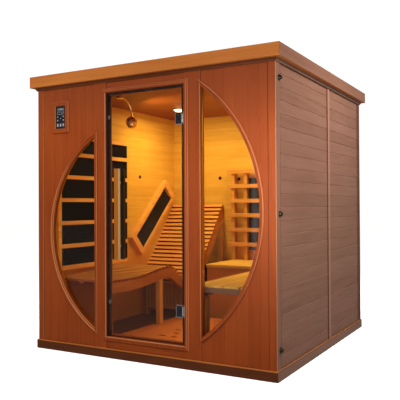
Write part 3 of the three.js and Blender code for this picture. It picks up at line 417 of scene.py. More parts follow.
def add_strip(graph, colour):
    """Painted shadow in the gap before the cover strip, and the strip's paler face."""
    start = STRIP_START - STRIP_GAP
    ahead = graph.step(graph.axis["y"], start, start + MM)
    gap = graph.times(ahead, graph.math("LESS_THAN", graph.axis["y"], STRIP_START + MM))
    colour = graph.mix(graph.times(gap, STRIP_SHARE), colour, STRIP_GAP_SHADOW)
    proud = graph.math("GREATER_THAN", graph.size(graph.axis["x"]), STRIP_BASE)
    face = graph.times(proud, faces_sideways(graph))
    return graph.mix(graph.times(face, STRIP_SHARE), colour, STRIP_TONE)


def add_edges(graph, colour, ledges):
    """Painted highlight and shade on eased edges at the front, by the way they face; ledges paints
    the highlight on the full faces that look right and up as well.
    """
    front = graph.size(graph.facing["y"])
    steep = graph.step(front, *FRONT_TURN, 1.0, 0.0)
    eased = graph.times(graph.step(front, *EDGE_TURN), steep)
    turn = graph.math(
        "ADD", graph.times(graph.facing["x"], PAINTED_LIGHT_FROM[0]),
        graph.times(graph.facing["z"], PAINTED_LIGHT_FROM[1]),
    )
    if ledges:
        eased = graph.math("MAXIMUM", eased, graph.step(turn, *LEDGE_TURN))
    pale = graph.times(eased, graph.step(turn, *PALE_TURN, 0.0, EDGE_SHARE))
    colour = graph.mix(pale, colour, EDGE_HIGHLIGHT)
    dark = graph.times(steep, graph.step(turn, *DARK_TURN, EDGE_SHARE, 0.0))
    return graph.mix(dark, colour, EDGE_SHADE)


def add_lining(graph, outer, grain):
    """Pale boards on the faces inside the cabin, with painted shade that makes them redder near
    the floor.
    """
    colour, rough, height = outer
    inner_colour, inner_rough, inner_height = wood_layer(
        graph, LINING_TONES, grain, ("z", LINING_PITCH, WALL_BOTTOM), THIN_SEAM,
        contrast=0.7, differ=0.15,
    )
    # Painted shade near the floor
    low = graph.step(graph.axis["z"], *LOW_HEIGHTS, LOW_SHARE, 0.0)
    inner_colour = graph.mix(low, inner_colour, LOW_SHADE_TONE)
    inside_x = graph.math("LESS_THAN", graph.size(graph.axis["x"]), LINING_X)
    inside_y = graph.math("LESS_THAN", graph.size(graph.axis["y"]), LINING_Y)
    inside = graph.times(inside_x, inside_y)
    return (
        graph.mix(inside, colour, inner_colour),
        graph.blend(inside, rough, inner_rough),
        graph.blend(inside, height, inner_height),
    )


def wood(
    name, tones, grain, boards=None, seams=None, contrast=1.0, differ=0.2, shine=0.15,
    eave=False, groove=None, strip=False, flank=None, under=None, sides=None,
    edges=False, ledges=False, lining=None,
):
    """Stained boards: eave paints shadow on them below the roof, groove paints light into their V
    joints, strip paints shadow in the gap before the side walls' cover strip and gives the strip a
    paler face, flank gives the tones of the faces to the left and right, under the height below
    which the boards are painted in shade and the colour of that shade, sides the colour of painted
    shade on faces that don't look up, edges and ledges paint highlights and shade on eased edges,
    and lining is the grain of the boards inside."""
    graph = Graph(name)
    colour, rough, height = wood_layer(graph, tones, grain, boards, seams, contrast, differ)
    # Painted shadow below the roof's edge
    if eave:
        shade = graph.step(graph.axis["z"], *EAVE_HEIGHTS, 0.0, EAVE_SHARE)
        colour = graph.mix(shade, colour, EAVE_SHADOW_TONE)
    if groove:
        colour = add_groove(graph, colour, tones, groove)
    if strip:
        colour = add_strip(graph, colour)
    if flank:
        flank_colour, _, _ = wood_layer(graph, flank, grain, boards, seams, contrast, differ)
        colour = graph.mix(faces_sideways(graph), colour, flank_colour)
    if under:
        bottom, bottom_colour = under
        below = graph.step(graph.axis["z"], bottom, bottom + MM, 1.0, 0.0)
        colour = graph.mix(below, colour, bottom_colour)
    if sides:
        colour = graph.mix(graph.step(graph.facing["z"], *UP_TURN, 1.0, 0.0), colour, sides)
    if edges:
        colour = add_edges(graph, colour, ledges)
    if lining:
        colour, rough, height = add_lining(graph, (colour, rough, height), lining)
    return graph.finish(
        Base_Color=colour, Roughness=rough, Normal=graph.bump(height, *WOOD_BUMP),
        Specular_IOR_Level=shine,
    )


def red_wood(name, grain, boards=None, **options):
    return wood(name, RED_TONES, grain, boards, eave=True, **options)


# Glass, metal, heaters and the other finishes

GLASS_TINT = (0.970, 0.965, 0.950)
GLASS_RIM = (0.160, 0.300, 0.240)
GLASS_INDEX = 1.15
GLASS_ROUGH = (0.0, 0.02)
RIM_TURN = (0.3, 0.9)
SMEAR_SCALE = 7.0
SMEAR_SPAN = (0.45, 0.8)


def glass(name):
    """Clear glass with greenish rims and faint smears."""
    graph = Graph(name)
    smear = graph.noise(graph.coords, scale=SMEAR_SCALE, detail=5.0)
    rim = graph.step(graph.size(graph.facing["y"]), *RIM_TURN, 1.0, 0.0)
    return graph.finish(
        Base_Color=graph.mix(rim, GLASS_TINT, GLASS_RIM),
        Roughness=graph.step(smear, *SMEAR_SPAN, *GLASS_ROUGH),
        Transmission_Weight=1.0, IOR=GLASS_INDEX,
    )


FLECK_SPAN = (0.25, 0.8)
METAL_SCALE = 160.0
METAL_BUMP = (0.06, 0.1 * MM)
PLAIN_DEPTH = 0.2 * MM


def metal(name, deep, pale, rough):
    """Polished metal; rough is its middle roughness."""
    graph = Graph(name)
    fleck = graph.noise(graph.coords, scale=METAL_SCALE, detail=3.0)
    return graph.finish(
        Base_Color=graph.mix(fleck, deep, pale), Metallic=1.0,
        Roughness=graph.step(fleck, *FLECK_SPAN, rough * 0.7, rough * 1.5),
        Normal=graph.bump(fleck, *METAL_BUMP),
    )


def plain(name, deep, pale, rough, scale=300.0, bump=0.12, shine=0.5):
    """Paint, plastic or rubber; rough is its middle roughness."""
    graph = Graph(name)
    fleck = graph.noise(graph.coords, scale=scale, detail=4.0)
    return graph.finish(
        Base_Color=graph.mix(fleck, deep, pale), Specular_IOR_Level=shine,
        Roughness=graph.step(fleck, *FLECK_SPAN, rough * 0.8, rough * 1.25),
        Normal=graph.bump(fleck, bump, PLAIN_DEPTH),
    )


CARBON_WEAVE = (60.0, 60.0, 900.0)
CARBON_TONES = ((0.002, 0.001, 0.002), (0.006, 0.004, 0.006))
CARBON_ROUGH = (0.42, 0.62)
CARBON_SHINE = 0.04
CARBON_BUMP = (0.3, 0.3 * MM)
BANDS_PER_METRE = 14.0
BAND_EDGE = (0.38, 0.46)
BAND_SHARE = 0.5
BAND_TONE = (0.009, 0.006, 0.009)
WEAVE_SPAN = (0.3, 0.7)


def carbon(name):
    """Black heating panel with a fine laid texture and faint conductor bands."""
    graph = Graph(name)
    weave = graph.noise(graph.stretched(CARBON_WEAVE), detail=3.0)
    place = graph.math("PINGPONG", graph.times(graph.axis["z"], BANDS_PER_METRE), 0.5)
    band = graph.step(place, *BAND_EDGE)
    colour = graph.mix(weave, *CARBON_TONES)
    return graph.finish(
        Base_Color=graph.mix(graph.times(band, BAND_SHARE), colour, BAND_TONE),
        Roughness=graph.step(weave, *WEAVE_SPAN, *CARBON_ROUGH), Specular_IOR_Level=CARBON_SHINE,
        Normal=graph.bump(weave, *CARBON_BUMP),
    )


SIDE_HEATER_TILT = math.radians(43.3)
MESH_PITCH = 16.0 * MM
MESH_WIRE = (0.06, 0.16)
MESH_TONES = ((0.003, 0.002, 0.002), (0.008, 0.006, 0.004))
MESH_ROUGH = (0.6, 0.4)
MESH_SHINE = 0.1
MESH_BUMP = (0.7, 0.8 * MM)
WIRE_TONE = (0.045, 0.026, 0.022)
WIRE_METAL = 0.6
DUST_SCALE = 90.0


def wire_mesh(name):
    """Dark element behind a woven wire guard, square to the tilted side heater."""
    graph = Graph(name)
    turned_back = graph.node(
        "ShaderNodeMapping", Vector=graph.coords, Rotation=(-SIDE_HEATER_TILT, 0.0, 0.0),
    )
    place = graph.split(turned_back.outputs[0])

    def wires(axis):
        part = graph.math("PINGPONG", graph.math("DIVIDE", place[axis], MESH_PITCH), 0.5)
        return graph.step(part, *MESH_WIRE, 1.0, 0.0)

    wire = graph.math("MAXIMUM", wires("y"), wires("z"))
    dust = graph.noise(graph.coords, scale=DUST_SCALE)
    return graph.finish(
        Base_Color=graph.mix(wire, graph.mix(dust, *MESH_TONES), WIRE_TONE),
        Roughness=graph.blend(wire, *MESH_ROUGH), Metallic=graph.times(wire, WIRE_METAL),
        Normal=graph.bump(wire, *MESH_BUMP), Specular_IOR_Level=MESH_SHINE,
    )


SHELL_BRUSHING = (700.0, 700.0, 8.0)
SHELL_TONES = ((0.006, 0.005, 0.006), (0.018, 0.015, 0.017))
SHELL_ROUGH = (0.28, 0.42)
SHELL_BUMP = (0.1, 0.1 * MM)


def dark_shell(name):
    """Dark enamelled shell with a fine upright brushing."""
    graph = Graph(name)
    brushed = graph.noise(graph.stretched(SHELL_BRUSHING), detail=3.0)
    return graph.finish(
        Base_Color=graph.mix(brushed, *SHELL_TONES),
        Roughness=graph.step(brushed, *WEAVE_SPAN, *SHELL_ROUGH),
        Normal=graph.bump(brushed, *SHELL_BUMP),
    )


FROST_SCALE = 240.0
FROST_DIM = 0.92
FROST_ROUGH = 0.4


def glow(name, colour, strength):
    """Frosted lamp that shines."""
    graph = Graph(name)
    frost = graph.noise(graph.coords, scale=FROST_SCALE)
    return graph.finish(
        Base_Color=graph.mix(frost, scaled(colour, FROST_DIM), colour), Roughness=FROST_ROUGH,
        Emission_Color=(*colour, 1.0), Emission_Strength=strength,
    )


def make_materials():
    front = {"contrast": 0.45, "differ": 0.18, "lining": "x"}
    wall = {"contrast": 0.7, "differ": 0.2, "shine": 0.05}
    wall_boards = ("z", BOARD_PITCH, WALL_BOTTOM)
    return {
        "front": red_wood(
            "front_boards", "z", ("x", BOARD_PITCH, LEFT_FRONT_END), groove=LEFT_GROOVE, **front,
        ),
        "front_right": red_wood(
            "front_boards_right", "z", ("x", BOARD_PITCH, RIGHT_FRONT_START),
            groove=RIGHT_GROOVE, **front,
        ),
        "jamb": red_wood("jamb_wood", "z", contrast=0.6, lining="x", edges=True),
        "rail": red_wood("rail_wood", "x", lining="x"),
        "trim": red_wood("trim_wood", "z", contrast=0.8, edges=True, ledges=True),
        "corner": red_wood("corner_wood", "z", contrast=0.8, flank=SIDE_TONES, edges=True),
        "plinth": wood("plinth_wood", PLINTH_TONES, "around", contrast=0.9, flank=SIDE_TONES),
        "fascia": wood(
            "fascia_wood", FASCIA_TONES, "around", contrast=0.75, flank=FASCIA_SIDE_TONES,
        ),
        "side": wood(
            "side_boards", SIDE_TONES, "y", wall_boards,
            groove=SIDE_GROOVE, strip=True, lining="y", **wall,
        ),
        "back": wood(
            "back_boards", SIDE_TONES, "x", wall_boards,
            groove=RIGHT_GROOVE, flank=BACK_EDGE_TONES, lining="x", **wall,
        ),
        "ceiling": wood(
            "ceiling_boards", CEILING_TONES, "y", ("x", BOARD_PITCH, 0.0), THIN_SEAM, contrast=0.8,
        ),
        "gold_x": wood("bench_wood_across", GOLD_TONES, "x"),
        "gold_z": wood("bench_wood_upright", GOLD_TONES, "z"),
        # Painted shade on the slats' side faces
        "slat": wood("lounger_slat_wood", SLAT_TONES, "x", sides=SLAT_SIDE_SHADE),
        "rail_gold": wood("lounger_rail_wood", RAIL_TONES, "y"),
        "guard": wood("guard_wood", GUARD_TONES, "y"),
        "bench_x": wood(
            "back_bench_wood", BENCH_TONES, "x", ("y", SLAT_PITCH, BACK_BENCH_FRONT), SLAT_SEAM,
        ),
        # Painted shade on the right bench below its seat's top
        "bench_y": wood(
            "right_bench_wood", BENCH_TONES, "y", ("x", SLAT_PITCH, RIGHT_BENCH_EDGE), SLAT_SEAM,
            under=(SEAT_BOTTOM, SEAT_SHADE),
        ),
        "deck": wood("deck_wood", DECK_TONES, "y"),
        # Painted highlight on the outer handle's side faces
        "handle": wood("handle_wood", HANDLE_TONES, "z", flank=HANDLE_LIT_SIDE_TONES),
        # Inner handle painted in shade
        "handle_shaded": wood("inner_handle_shaded_wood", INNER_HANDLE_SHADE_TONES, "z"),
        "glass": glass("clear_glass"),
        "chrome": metal("chrome", (0.58, 0.59, 0.61), (0.78, 0.79, 0.81), 0.10),
        "bronze": metal("polished_bronze", (0.60, 0.33, 0.12), (0.84, 0.54, 0.26), 0.20),
        "bolt": metal("dark_bolt", (0.036, 0.030, 0.020), (0.095, 0.080, 0.052), 0.30),
        "stem": metal("pale_brass", (0.60, 0.50, 0.34), (0.80, 0.70, 0.52), 0.18),
        "carbon": carbon("heating_panel"),
        "mesh": wire_mesh("heater_mesh"),
        "shell": dark_shell("heater_shell"),
        "black": plain(
            "gloss_black", (0.004, 0.004, 0.006), (0.010, 0.010, 0.013), 0.10, bump=0.02,
        ),
        "key": plain("key_grey", (0.34, 0.33, 0.36), (0.46, 0.45, 0.48), 0.38),
        "mark": plain("pale_mark", (0.42, 0.43, 0.46), (0.52, 0.54, 0.58), 0.4),
        "screen": plain(
            "display_screen", (0.010, 0.013, 0.016), (0.018, 0.022, 0.027), 0.14, bump=0.02,
        ),
        "seal": plain(
            "rubber_seal", (0.046, 0.017, 0.011), (0.075, 0.030, 0.019), 0.55, shine=0.1,
        ),
        "cap": plain("bolt_cap", (0.050, 0.007, 0.003), (0.085, 0.012, 0.005), 0.55, shine=0.05),
        "steel": plain("powder_coat", (0.28, 0.29, 0.30), (0.40, 0.41, 0.42), 0.45),
        "lens": glow("lamp_lens", (1.0, 0.80, 0.42), 5.0),
        "bulb": glow("lamp_bulb", (1.0, 0.78, 0.38), 9.0),
    }


# CAD nodes: material, and width of the softened edges in millimetres

NODE_LOOKS = {
    "front_left_panel": ("front", 0.0), "front_right_panel": ("front_right", 0.0),
    "door_jamb_left": ("jamb", 1.5), "door_jamb_right": ("jamb", 1.5),
    "door_head": ("rail", 1.0), "door_sill": ("rail", 1.0),
    "corner_trim_left": ("corner", 5.0), "corner_trim_right": ("corner", 5.0),
    "base_panel": ("plinth", 2.0), "roof_cap": ("fascia", 2.0),
    "left_window_trim": ("trim", 1.0), "right_window_trim": ("trim", 1.0),
    "left_wall_front": ("side", 0.0), "left_wall_rear": ("side", 0.0),
    "right_wall_front": ("side", 0.0), "right_wall_rear": ("side", 0.0),
    "back_wall": ("back", 0.0), "ceiling_panel": ("ceiling", 0.0), "floor_deck": ("deck", 0.8),
    "left_window_glass": ("glass", 0.0), "right_window_glass": ("glass", 0.0),
    "door_glass": ("glass", 0.8),
    "handle_outer": ("handle", 4.0), "handle_inner": ("handle_shaded", 4.0),
    "hinge_clamp_top": ("chrome", 0.8), "hinge_clamp_bottom": ("chrome", 0.8),
    "hinge_bracket_top": ("chrome", 0.5), "hinge_bracket_bottom": ("chrome", 0.5),
    "catch_top": ("chrome", 0.5), "catch_bottom": ("chrome", 0.5),
    "left_heater_guard": ("guard", 2.0), "side_heater_frame": ("guard", 2.5),
    "floor_heater": ("carbon", 0.0), "left_heater_panel": ("carbon", 0.0),
    "side_heater_element": ("mesh", 0.0), "back_heater": ("shell", 0.0),
    "backrest": ("gold_x", 2.0), "calf_heater": ("gold_z", 1.2),
    "lounger_rail_left": ("rail_gold", 2.0), "lounger_rail_right": ("rail_gold", 2.0),
    "lounger_slats": ("slat", 2.2),
    "lounger_leg_middle": ("gold_z", 2.0), "lounger_leg_rear": ("gold_z", 2.0),
    "back_bench_seat": ("bench_x", 2.0), "back_bench_riser": ("rail", 1.5),
    "right_bench_seat": ("bench_y", 2.0), "right_bench_leg": ("gold_z", 2.0),
    "lamp_stem": ("stem", 0.0), "lamp_globe": ("bronze", 0.0), "ceiling_light": ("lens", 0.0),
    "power_box": ("steel", 2.0), "control_bezel": ("trim", 2.5), "control_panel": ("black", 0.4),
    "key_temperature_up": ("black", 0.5), "key_temperature_down": ("black", 0.5),
    "key_time_up": ("black", 0.5), "key_time_down": ("black", 0.5),
    "key_power": ("key", 0.5), "key_light": ("key", 0.5), "key_heat": ("key", 0.5),
}
WELD_REACH = 0.01 * MM
SHARP_ANGLE = math.radians(35.0)


def soften(node, width):
    weld = node.modifiers.new("weld", "WELD")
    weld.merge_threshold = WELD_REACH
    bevel = node.modifiers.new("edges", "BEVEL")
    bevel.width = width
    bevel.segments = 2
    bevel.limit_method = "ANGLE"
    bevel.angle_limit = SHARP_ANGLE
    bevel.harden_normals = True


def dress_nodes(looks):
    for name, node in NODES.items():
        look, width = NODE_LOOKS[name]
        node.data.materials.clear()
        node.data.materials.append(looks[look])
        if width:
            soften(node, width * MM)


# Forms of the scene's own pieces: vertices in metres, from sizes in millimetres

def piece(name, verts, faces, material, slot, body="cabin", smooth=False):
    mesh = bpy.data.meshes.new(name)
    mesh.from_pydata([tuple(vert) for vert in verts], [], faces)
    mesh.validate()
    mesh.materials.append(material)
    made = bpy.data.objects.new(name, mesh)
    bpy.context.scene.collection.objects.link(made)
    if smooth:
        mesh.shade_smooth()
    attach(made, body)
    return made


def loft(rings, closed=False):
    """Faces between rings of equal length; open ends are capped."""
    count = len(rings[0])
    verts = [vert for ring in rings for vert in ring]
    faces = []
    last = len(rings) if closed else len(rings) - 1
    for row in range(last):
        here, there = row * count, (row + 1) % len(rings) * count
        for index in range(count):
            after = (index + 1) % count
            faces.append((here + index, here + after, there + after, there + index))
    if not closed:
        faces.append(tuple(reversed(range(count))))
        faces.append(tuple(range((len(rings) - 1) * count, len(rings) * count)))
    return verts, faces


def merge(*parts):
    verts, faces = [], []
    for part_verts, part_faces in parts:
        base = len(verts)
        verts.extend(part_verts)
        faces.extend(tuple(index + base for index in face) for face in part_faces)
    return verts, faces


def turned(profile, place, axis, steps=24):
    """Turned form from (radius, height) pairs along an axis; the first and last radius close it."""
    turn = Vector((0, 0, 1)).rotation_difference(Vector(axis)).to_matrix()
    angles = [2 * math.pi * step / steps for step in range(steps)]
    rings = []
    for radius, height in profile:
        ring = []
        for angle in angles:
            across, up = radius * MM * math.cos(angle), radius * MM * math.sin(angle)
            ring.append(Vector(place) * MM + turn @ Vector((across, up, height * MM)))
        rings.append(ring)
    return loft(rings)


def bar(x, y, z, ease=0.0):
    """Upright-sided block between ranges, with its upright edges eased."""
    outline = (
        (x[0] + ease, y[0]), (x[1] - ease, y[0]), (x[1], y[0] + ease), (x[1], y[1] - ease),
        (x[1] - ease, y[1]), (x[0] + ease, y[1]), (x[0], y[1] - ease), (x[0], y[0] + ease),
    )
    return loft([[Vector((px, py, height)) * MM for px, py in outline] for height in z])


def plate(points, y, thickness):
    """Flat plate from (x, z) points that stands out towards -Y."""
    depths = (y, y - thickness)
    return loft([[Vector((px, depth, pz)) * MM for px, pz in points] for depth in depths])


def frame_ring(x, z, profile):
    """Mitred moulding round an upright opening: profile is (outward, y) pairs."""
    rings = []
    for cx, cz in ((x[0], z[0]), (x[1], z[0]), (x[1], z[1]), (x[0], z[1])):
        sx = -1 if cx == x[0] else 1
        sz = -1 if cz == z[0] else 1
        rings.append([Vector((cx + sx * out, y, cz + sz * out)) * MM for out, y in profile])
    return loft(rings, closed=True)


def level_ring(x, y, profile):
    """Mitred moulding round the cabin's half sizes: profile is (outward, z) pairs."""
    rings = []
    for sx, sy in ((-1, -1), (1, -1), (1, 1), (-1, 1)):
        rings.append([
            Vector((sx * (x + out), sy * (y + out), height)) * MM for out, height in profile
        ])
    return loft(rings, closed=True)


def arc_moulding(side, centre_x, centre_z, profile, spans, steps):
    """Curved moulding from (radius, y) pairs; spans is the start and end angle of each radius."""
    middle = 0.0 if side > 0 else math.pi
    rings = []
    for step in range(steps + 1):
        share = step / steps
        ring = []
        for (radius, y), (start, end) in zip(profile, spans):
            angle = middle + start + share * (end - start)
            x, z = centre_x + radius * math.cos(angle), centre_z + radius * math.sin(angle)
            ring.append(Vector((x, y, z)) * MM)
        rings.append(ring)
    return loft(rings)


# Windows, door casing, seals and mouldings

BOARD_FACE = -884.0
TRIM_STEPS = (
    (0, 0.0), (0, 3.5), (2, 5.0), (10, 5.0), (13, 11.0),
    (15, 12.0), (21, 12.0), (24, 9.5), (25, 7.0), (25, 0.0),
)
JAMB_LIFT = 6.2
ARCH_STEPS = 96
TIP_STEPS = 4
UPRIGHT_PROUD = 11.5
UPRIGHT_GAP = 0.3
UPRIGHT_EASE = 2.0

# Label, side, centre x and z, inner radius, edge x, rim x, and heights of the upright strip
WINDOWS = (
    ("left", -1, -32.0, 819.0, 733.0, -395.0, -374.0, (146.0, 1492.0)),
    ("right", 1, -137.0, 956.0, 934.0, 413.0, 393.0, (161.0, 1751.0)),
)


def window_moulding(side, centre_x, centre_z, edge, rim, profile, on_jamb):
    """Arch that ends on the upright line x = edge, and its two tips over the jamb to x = rim."""
    def halves(section, x):
        return [math.acos(side * (x - centre_x) / radius) for radius, _ in section]

    spans = [(-half, half) for half in halves(profile, edge)]
    arch = arc_moulding(side, centre_x, centre_z, profile, spans, ARCH_STEPS)
    near, far = halves(on_jamb, edge), halves(on_jamb, rim)
    tips = []
    for end in (-1, 1):
        spans = [(end * start, end * stop) for start, stop in zip(near, far)]
        tips.append(arc_moulding(side, centre_x, centre_z, on_jamb, spans, TIP_STEPS))
    return merge(arch, *tips)


def make_windows(looks):
    for label, side, cx, cz, inner, edge, rim, heights in WINDOWS:
        profile = [(inner + out, BOARD_FACE - proud) for out, proud in TRIM_STEPS]
        on_jamb = [(radius, min(y, BOARD_FACE - JAMB_LIFT)) for radius, y in profile]
        arch = window_moulding(side, cx, cz, edge, rim, profile, on_jamb)
        upright = bar(
            (min(edge, rim) + UPRIGHT_GAP, max(edge, rim)),
            (BOARD_FACE - UPRIGHT_PROUD, BOARD_FACE - JAMB_LIFT), heights, UPRIGHT_EASE,
        )
        trim = piece(f"{label}_window_moulding", *merge(arch, upright), looks["trim"], "redwood")
        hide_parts(f"{label}_window_trim")


DOORWAY_X = (-300.0, 300.0)
DOORWAY_Z = (138.0, 1735.0)
CASING = (
    (0, -890.2), (0, -895.5), (3, -897.5), (14, -897.5),
    (17, -896), (26, -896), (28, -894), (28, -890.2),
)
CASING_BACK_X = (-299.8, 299.8)
CASING_BACK_Y = (-890.2, -884.2)
CASING_BACKS_Z = ((1735.2, 1762.8), (110.2, 137.8))


def make_door_casing(looks):
    ring = frame_ring(DOORWAY_X, DOORWAY_Z, CASING)
    backs = [bar(CASING_BACK_X, CASING_BACK_Y, heights) for heights in CASING_BACKS_Z]
    piece("door_casing", *merge(ring, *backs), looks["trim"], "redwood")


HINGE_HEIGHTS = (1530.0, 345.0)
HINGE_ZONE = 40.0
SEAL_EASE = 1.2
SEAL_BOTTOM = 146.0
SEAL_TOP = 1719.0
STOP_SEALS = (
    ((-299.5, -276.0), (-863.4, -860.2), (139.0, 1731.0), 1.0),
    ((-275.0, 272.0), (-863.4, -860.2), (1721.5, 1731.0), 1.0),
    ((-299.8, -297.0), (-886.0, -864.0), (139.0, 1731.0), 0.8),
    ((-296.0, 296.0), (-883.0, -864.0), (1732.0, 1734.8), 0.8),
)
JAMB_SEAL = ((294.0, 299.6), (-856.0, -850.0))
# Rubber lip on the hinge jamb, widened into a dark strip that also stands for the shade in the
# reveal beyond the door's edge
JAMB_SHADE_LIP = ((262.0, 296.5), (-856.0, -851.0), (154.0, 1719.0))
GLASS_EDGE_SEAL = ((274.4, 278.6), (-871.4, -864.6))


def make_seals(looks):
    """Rubber stops round the doorway, and seals on the hinge side that leave out the hinges."""
    heights = [SEAL_BOTTOM]
    for z in sorted(HINGE_HEIGHTS):
        heights += [z - HINGE_ZONE, z + HINGE_ZONE]
    heights.append(SEAL_TOP)
    runs = list(zip(heights[0::2], heights[1::2]))
    stops = [bar(*seal) for seal in STOP_SEALS]
    jamb = [bar(*JAMB_SEAL, run, SEAL_EASE) for run in runs]
    jamb.append(bar(*JAMB_SHADE_LIP, SEAL_EASE))
    edge = [bar(*GLASS_EDGE_SEAL, run, SEAL_EASE) for run in runs]
    piece("door_stop_seals", *merge(*stops), looks["seal"], "carbon")
    piece("hinge_side_seal", *merge(*jamb), looks["seal"], "carbon")
    piece("door_edge_seal", *merge(*edge), looks["seal"], "carbon", body="door")


WALL_HALF_X = 900.0
WALL_HALF_Y = 890.0
COVE = (
    (0.2, 1804.0), (5.0, 1804.0), (8.0, 1809.0), (8.0, 1812.0),
    (15.0, 1818.0), (15.0, 1822.8), (0.2, 1822.8),
)
PLINTH_BEAD = ((0.2, 55.2), (6.6, 55.2), (6.6, 57.5), (5.0, 60.5), (2.6, 62.0), (0.2, 62.4))


def make_mouldings(looks):
    cove = level_ring(WALL_HALF_X, WALL_HALF_Y, COVE)
    bead = level_ring(WALL_HALF_X, WALL_HALF_Y, PLINTH_BEAD)
    # The cove is a moulding in the plinth's dark wood, which also paints the shadow under the
    # roof's edge; the bead on the plinth's top takes the fascia's paler wood as a painted highlight
    piece("roof_cove", *cove, looks["plinth"], "redwood")
    piece("plinth_bead", *bead, looks["fascia"], "redwood")


# Bolts, hinge covers and screws

BOLT = (
    (0.1, 0.0), (18.0, 0.0), (18.6, 1.4), (16.8, 3.0), (13.6, 3.8),
    (13.2, 9.5), (11.2, 14.4), (6.8, 17.6), (0.1, 18.8),
)
BOLT_X = 900.1
BOLT_Y = -840.0
BOLT_HEIGHTS = (1718.0, 942.0, 171.0)
CAP = ((0.1, 0.0), (15.0, 0.0), (15.0, 1.8), (12.5, 4.4), (7.0, 6.2), (0.1, 6.8))
CAP_PLACES = (
    ((-850.0, 283.0, 1243.0), (1, 0, 0)),
    ((-356.0, 840.0, 1241.0), (0, -1, 0)),
    ((-165.0, 840.0, 1227.0), (0, -1, 0)),
)
SMALL_STEPS = 16


def make_bolts(looks):
    for label, side in (("left", -1), ("right", 1)):
        forms = [turned(BOLT, (side * BOLT_X, BOLT_Y, z), (side, 0, 0)) for z in BOLT_HEIGHTS]
        piece(f"{label}_wall_bolts", *merge(*forms), looks["bolt"], "grey_steel", smooth=True)
    forms = [turned(CAP, place, axis, SMALL_STEPS) for place, axis in CAP_PLACES]
    piece("inner_bolt_caps", *merge(*forms), looks["cap"], "grey_steel", smooth=True)


COVER_X = (233.0, 272.0)
COVER_Y = (-878.6, -877.4)
COVER_HALF = 34.0
COVER_EASE = 0.5
SCREW = ((0.1, 0.0), (4.2, 0.0), (4.2, 0.6), (3.2, 1.2), (1.2, 1.4), (1.1, 0.9), (0.1, 0.9))
SCREW_X = 252.0
SCREW_RISES = (-20.0, 20.0)


def make_hinge_covers(looks):
    covers, screws = [], []
    for z in HINGE_HEIGHTS:
        covers.append(bar(COVER_X, COVER_Y, (z - COVER_HALF, z + COVER_HALF), COVER_EASE))
        for rise in SCREW_RISES:
            screws.append(turned(SCREW, (SCREW_X, COVER_Y[0], z + rise), (0, -1, 0), SMALL_STEPS))
    piece("hinge_covers", *merge(*covers), looks["black"], "black_gloss", body="door")
    piece("hinge_screws", *merge(*screws), looks["bolt"], "chrome", body="door", smooth=True)


# Display and key symbols: places from the middle of the control panel

CONTROL_X = -690.0
CONTROL_Z = 1604.0
DISPLAY_Z = CONTROL_Z + 42.0
DISPLAY_HALF_X = 28.0
DISPLAY_HALF_Z = 21.0
SCREEN_MARGIN = 2.0
SCREEN_Y = (-889.6, -889.05)
SCREEN_EASE = 0.2
OUTLINE_WIDTH = 1.2
OUTLINE_THICKNESS = 0.9
ROW_Y = (-889.9, -889.65)
# Height of the middle, half height and x ranges of the bars in a row
DISPLAY_ROWS = (
    (14.0, 1.6, ((-20.0, 20.0),)),
    (3.0, 0.8, ((-18.0, -10.0), (-6.0, 6.0), (10.0, 18.0))),
    (-8.0, 0.8, ((-18.0, -4.0), (4.0, 18.0))),
)
CHEVRON = ((-4.0, 3.0), (-2.6, 3.0), (0.0, -1.4), (2.6, 3.0), (4.0, 3.0), (0.7, -3.0), (-0.7, -3.0))
CHEVRON_Z = CONTROL_Z - 6.5
CHEVRON_Y = -890.02
CHEVRON_THICKNESS = 0.3


def make_display(looks):
    x = (CONTROL_X - DISPLAY_HALF_X, CONTROL_X + DISPLAY_HALF_X)
    z = (DISPLAY_Z - DISPLAY_HALF_Z, DISPLAY_Z + DISPLAY_HALF_Z)
    screen = bar(
        (x[0] + SCREEN_MARGIN, x[1] - SCREEN_MARGIN), SCREEN_Y,
        (z[0] + SCREEN_MARGIN, z[1] - SCREEN_MARGIN), SCREEN_EASE,
    )
    piece("display_screen", *screen, looks["screen"], "black_gloss")
    base, top = SCREEN_Y[1], SCREEN_Y[1] - OUTLINE_THICKNESS
    outline = ((-OUTLINE_WIDTH, base), (-OUTLINE_WIDTH, top), (0.0, top), (0.0, base))
    forms = [frame_ring(x, z, outline)]
    for rise, half, spans in DISPLAY_ROWS:
        row_z = (DISPLAY_Z + rise - half, DISPLAY_Z + rise + half)
        for low, high in spans:
            forms.append(bar((CONTROL_X + low, CONTROL_X + high), ROW_Y, row_z))
    chevron = [(CONTROL_X + px, CHEVRON_Z + pz) for px, pz in CHEVRON]
    forms.append(plate(chevron, CHEVRON_Y, CHEVRON_THICKNESS))
    piece("display_marks", *merge(*forms), looks["mark"], "key_grey")


UP_ARROW = ((-5.2, -4.6), (5.2, -4.6), (0.0, 6.0))
DOWN_ARROW = ((-5.2, 4.6), (0.0, -6.0), (5.2, 4.6))
UPRIGHT_BAR = ((-0.9, 0.0), (0.9, 0.0), (0.9, 5.0), (-0.9, 5.0))
LEVEL_BAR = ((-3.0, -0.8), (3.0, -0.8), (3.0, 0.8), (-3.0, 0.8))
CROSS_BAR = tuple((z, x) for x, z in reversed(LEVEL_BAR))
BAR_SPACING = 4.0
UPPER_BAR = tuple((x, z + BAR_SPACING) for x, z in LEVEL_BAR)
LOWER_BAR = tuple((x, z - BAR_SPACING) for x, z in LEVEL_BAR)
KEY_SYMBOLS = {
    "key_temperature_up": (UP_ARROW,), "key_time_up": (UP_ARROW,),
    "key_temperature_down": (DOWN_ARROW,), "key_time_down": (DOWN_ARROW,),
    "key_power": (UPRIGHT_BAR, LEVEL_BAR), "key_light": (LEVEL_BAR, CROSS_BAR),
    "key_heat": (LEVEL_BAR, UPPER_BAR, LOWER_BAR),
}
SYMBOL_LIFT = 0.02
SYMBOL_THICKNESS = 0.12


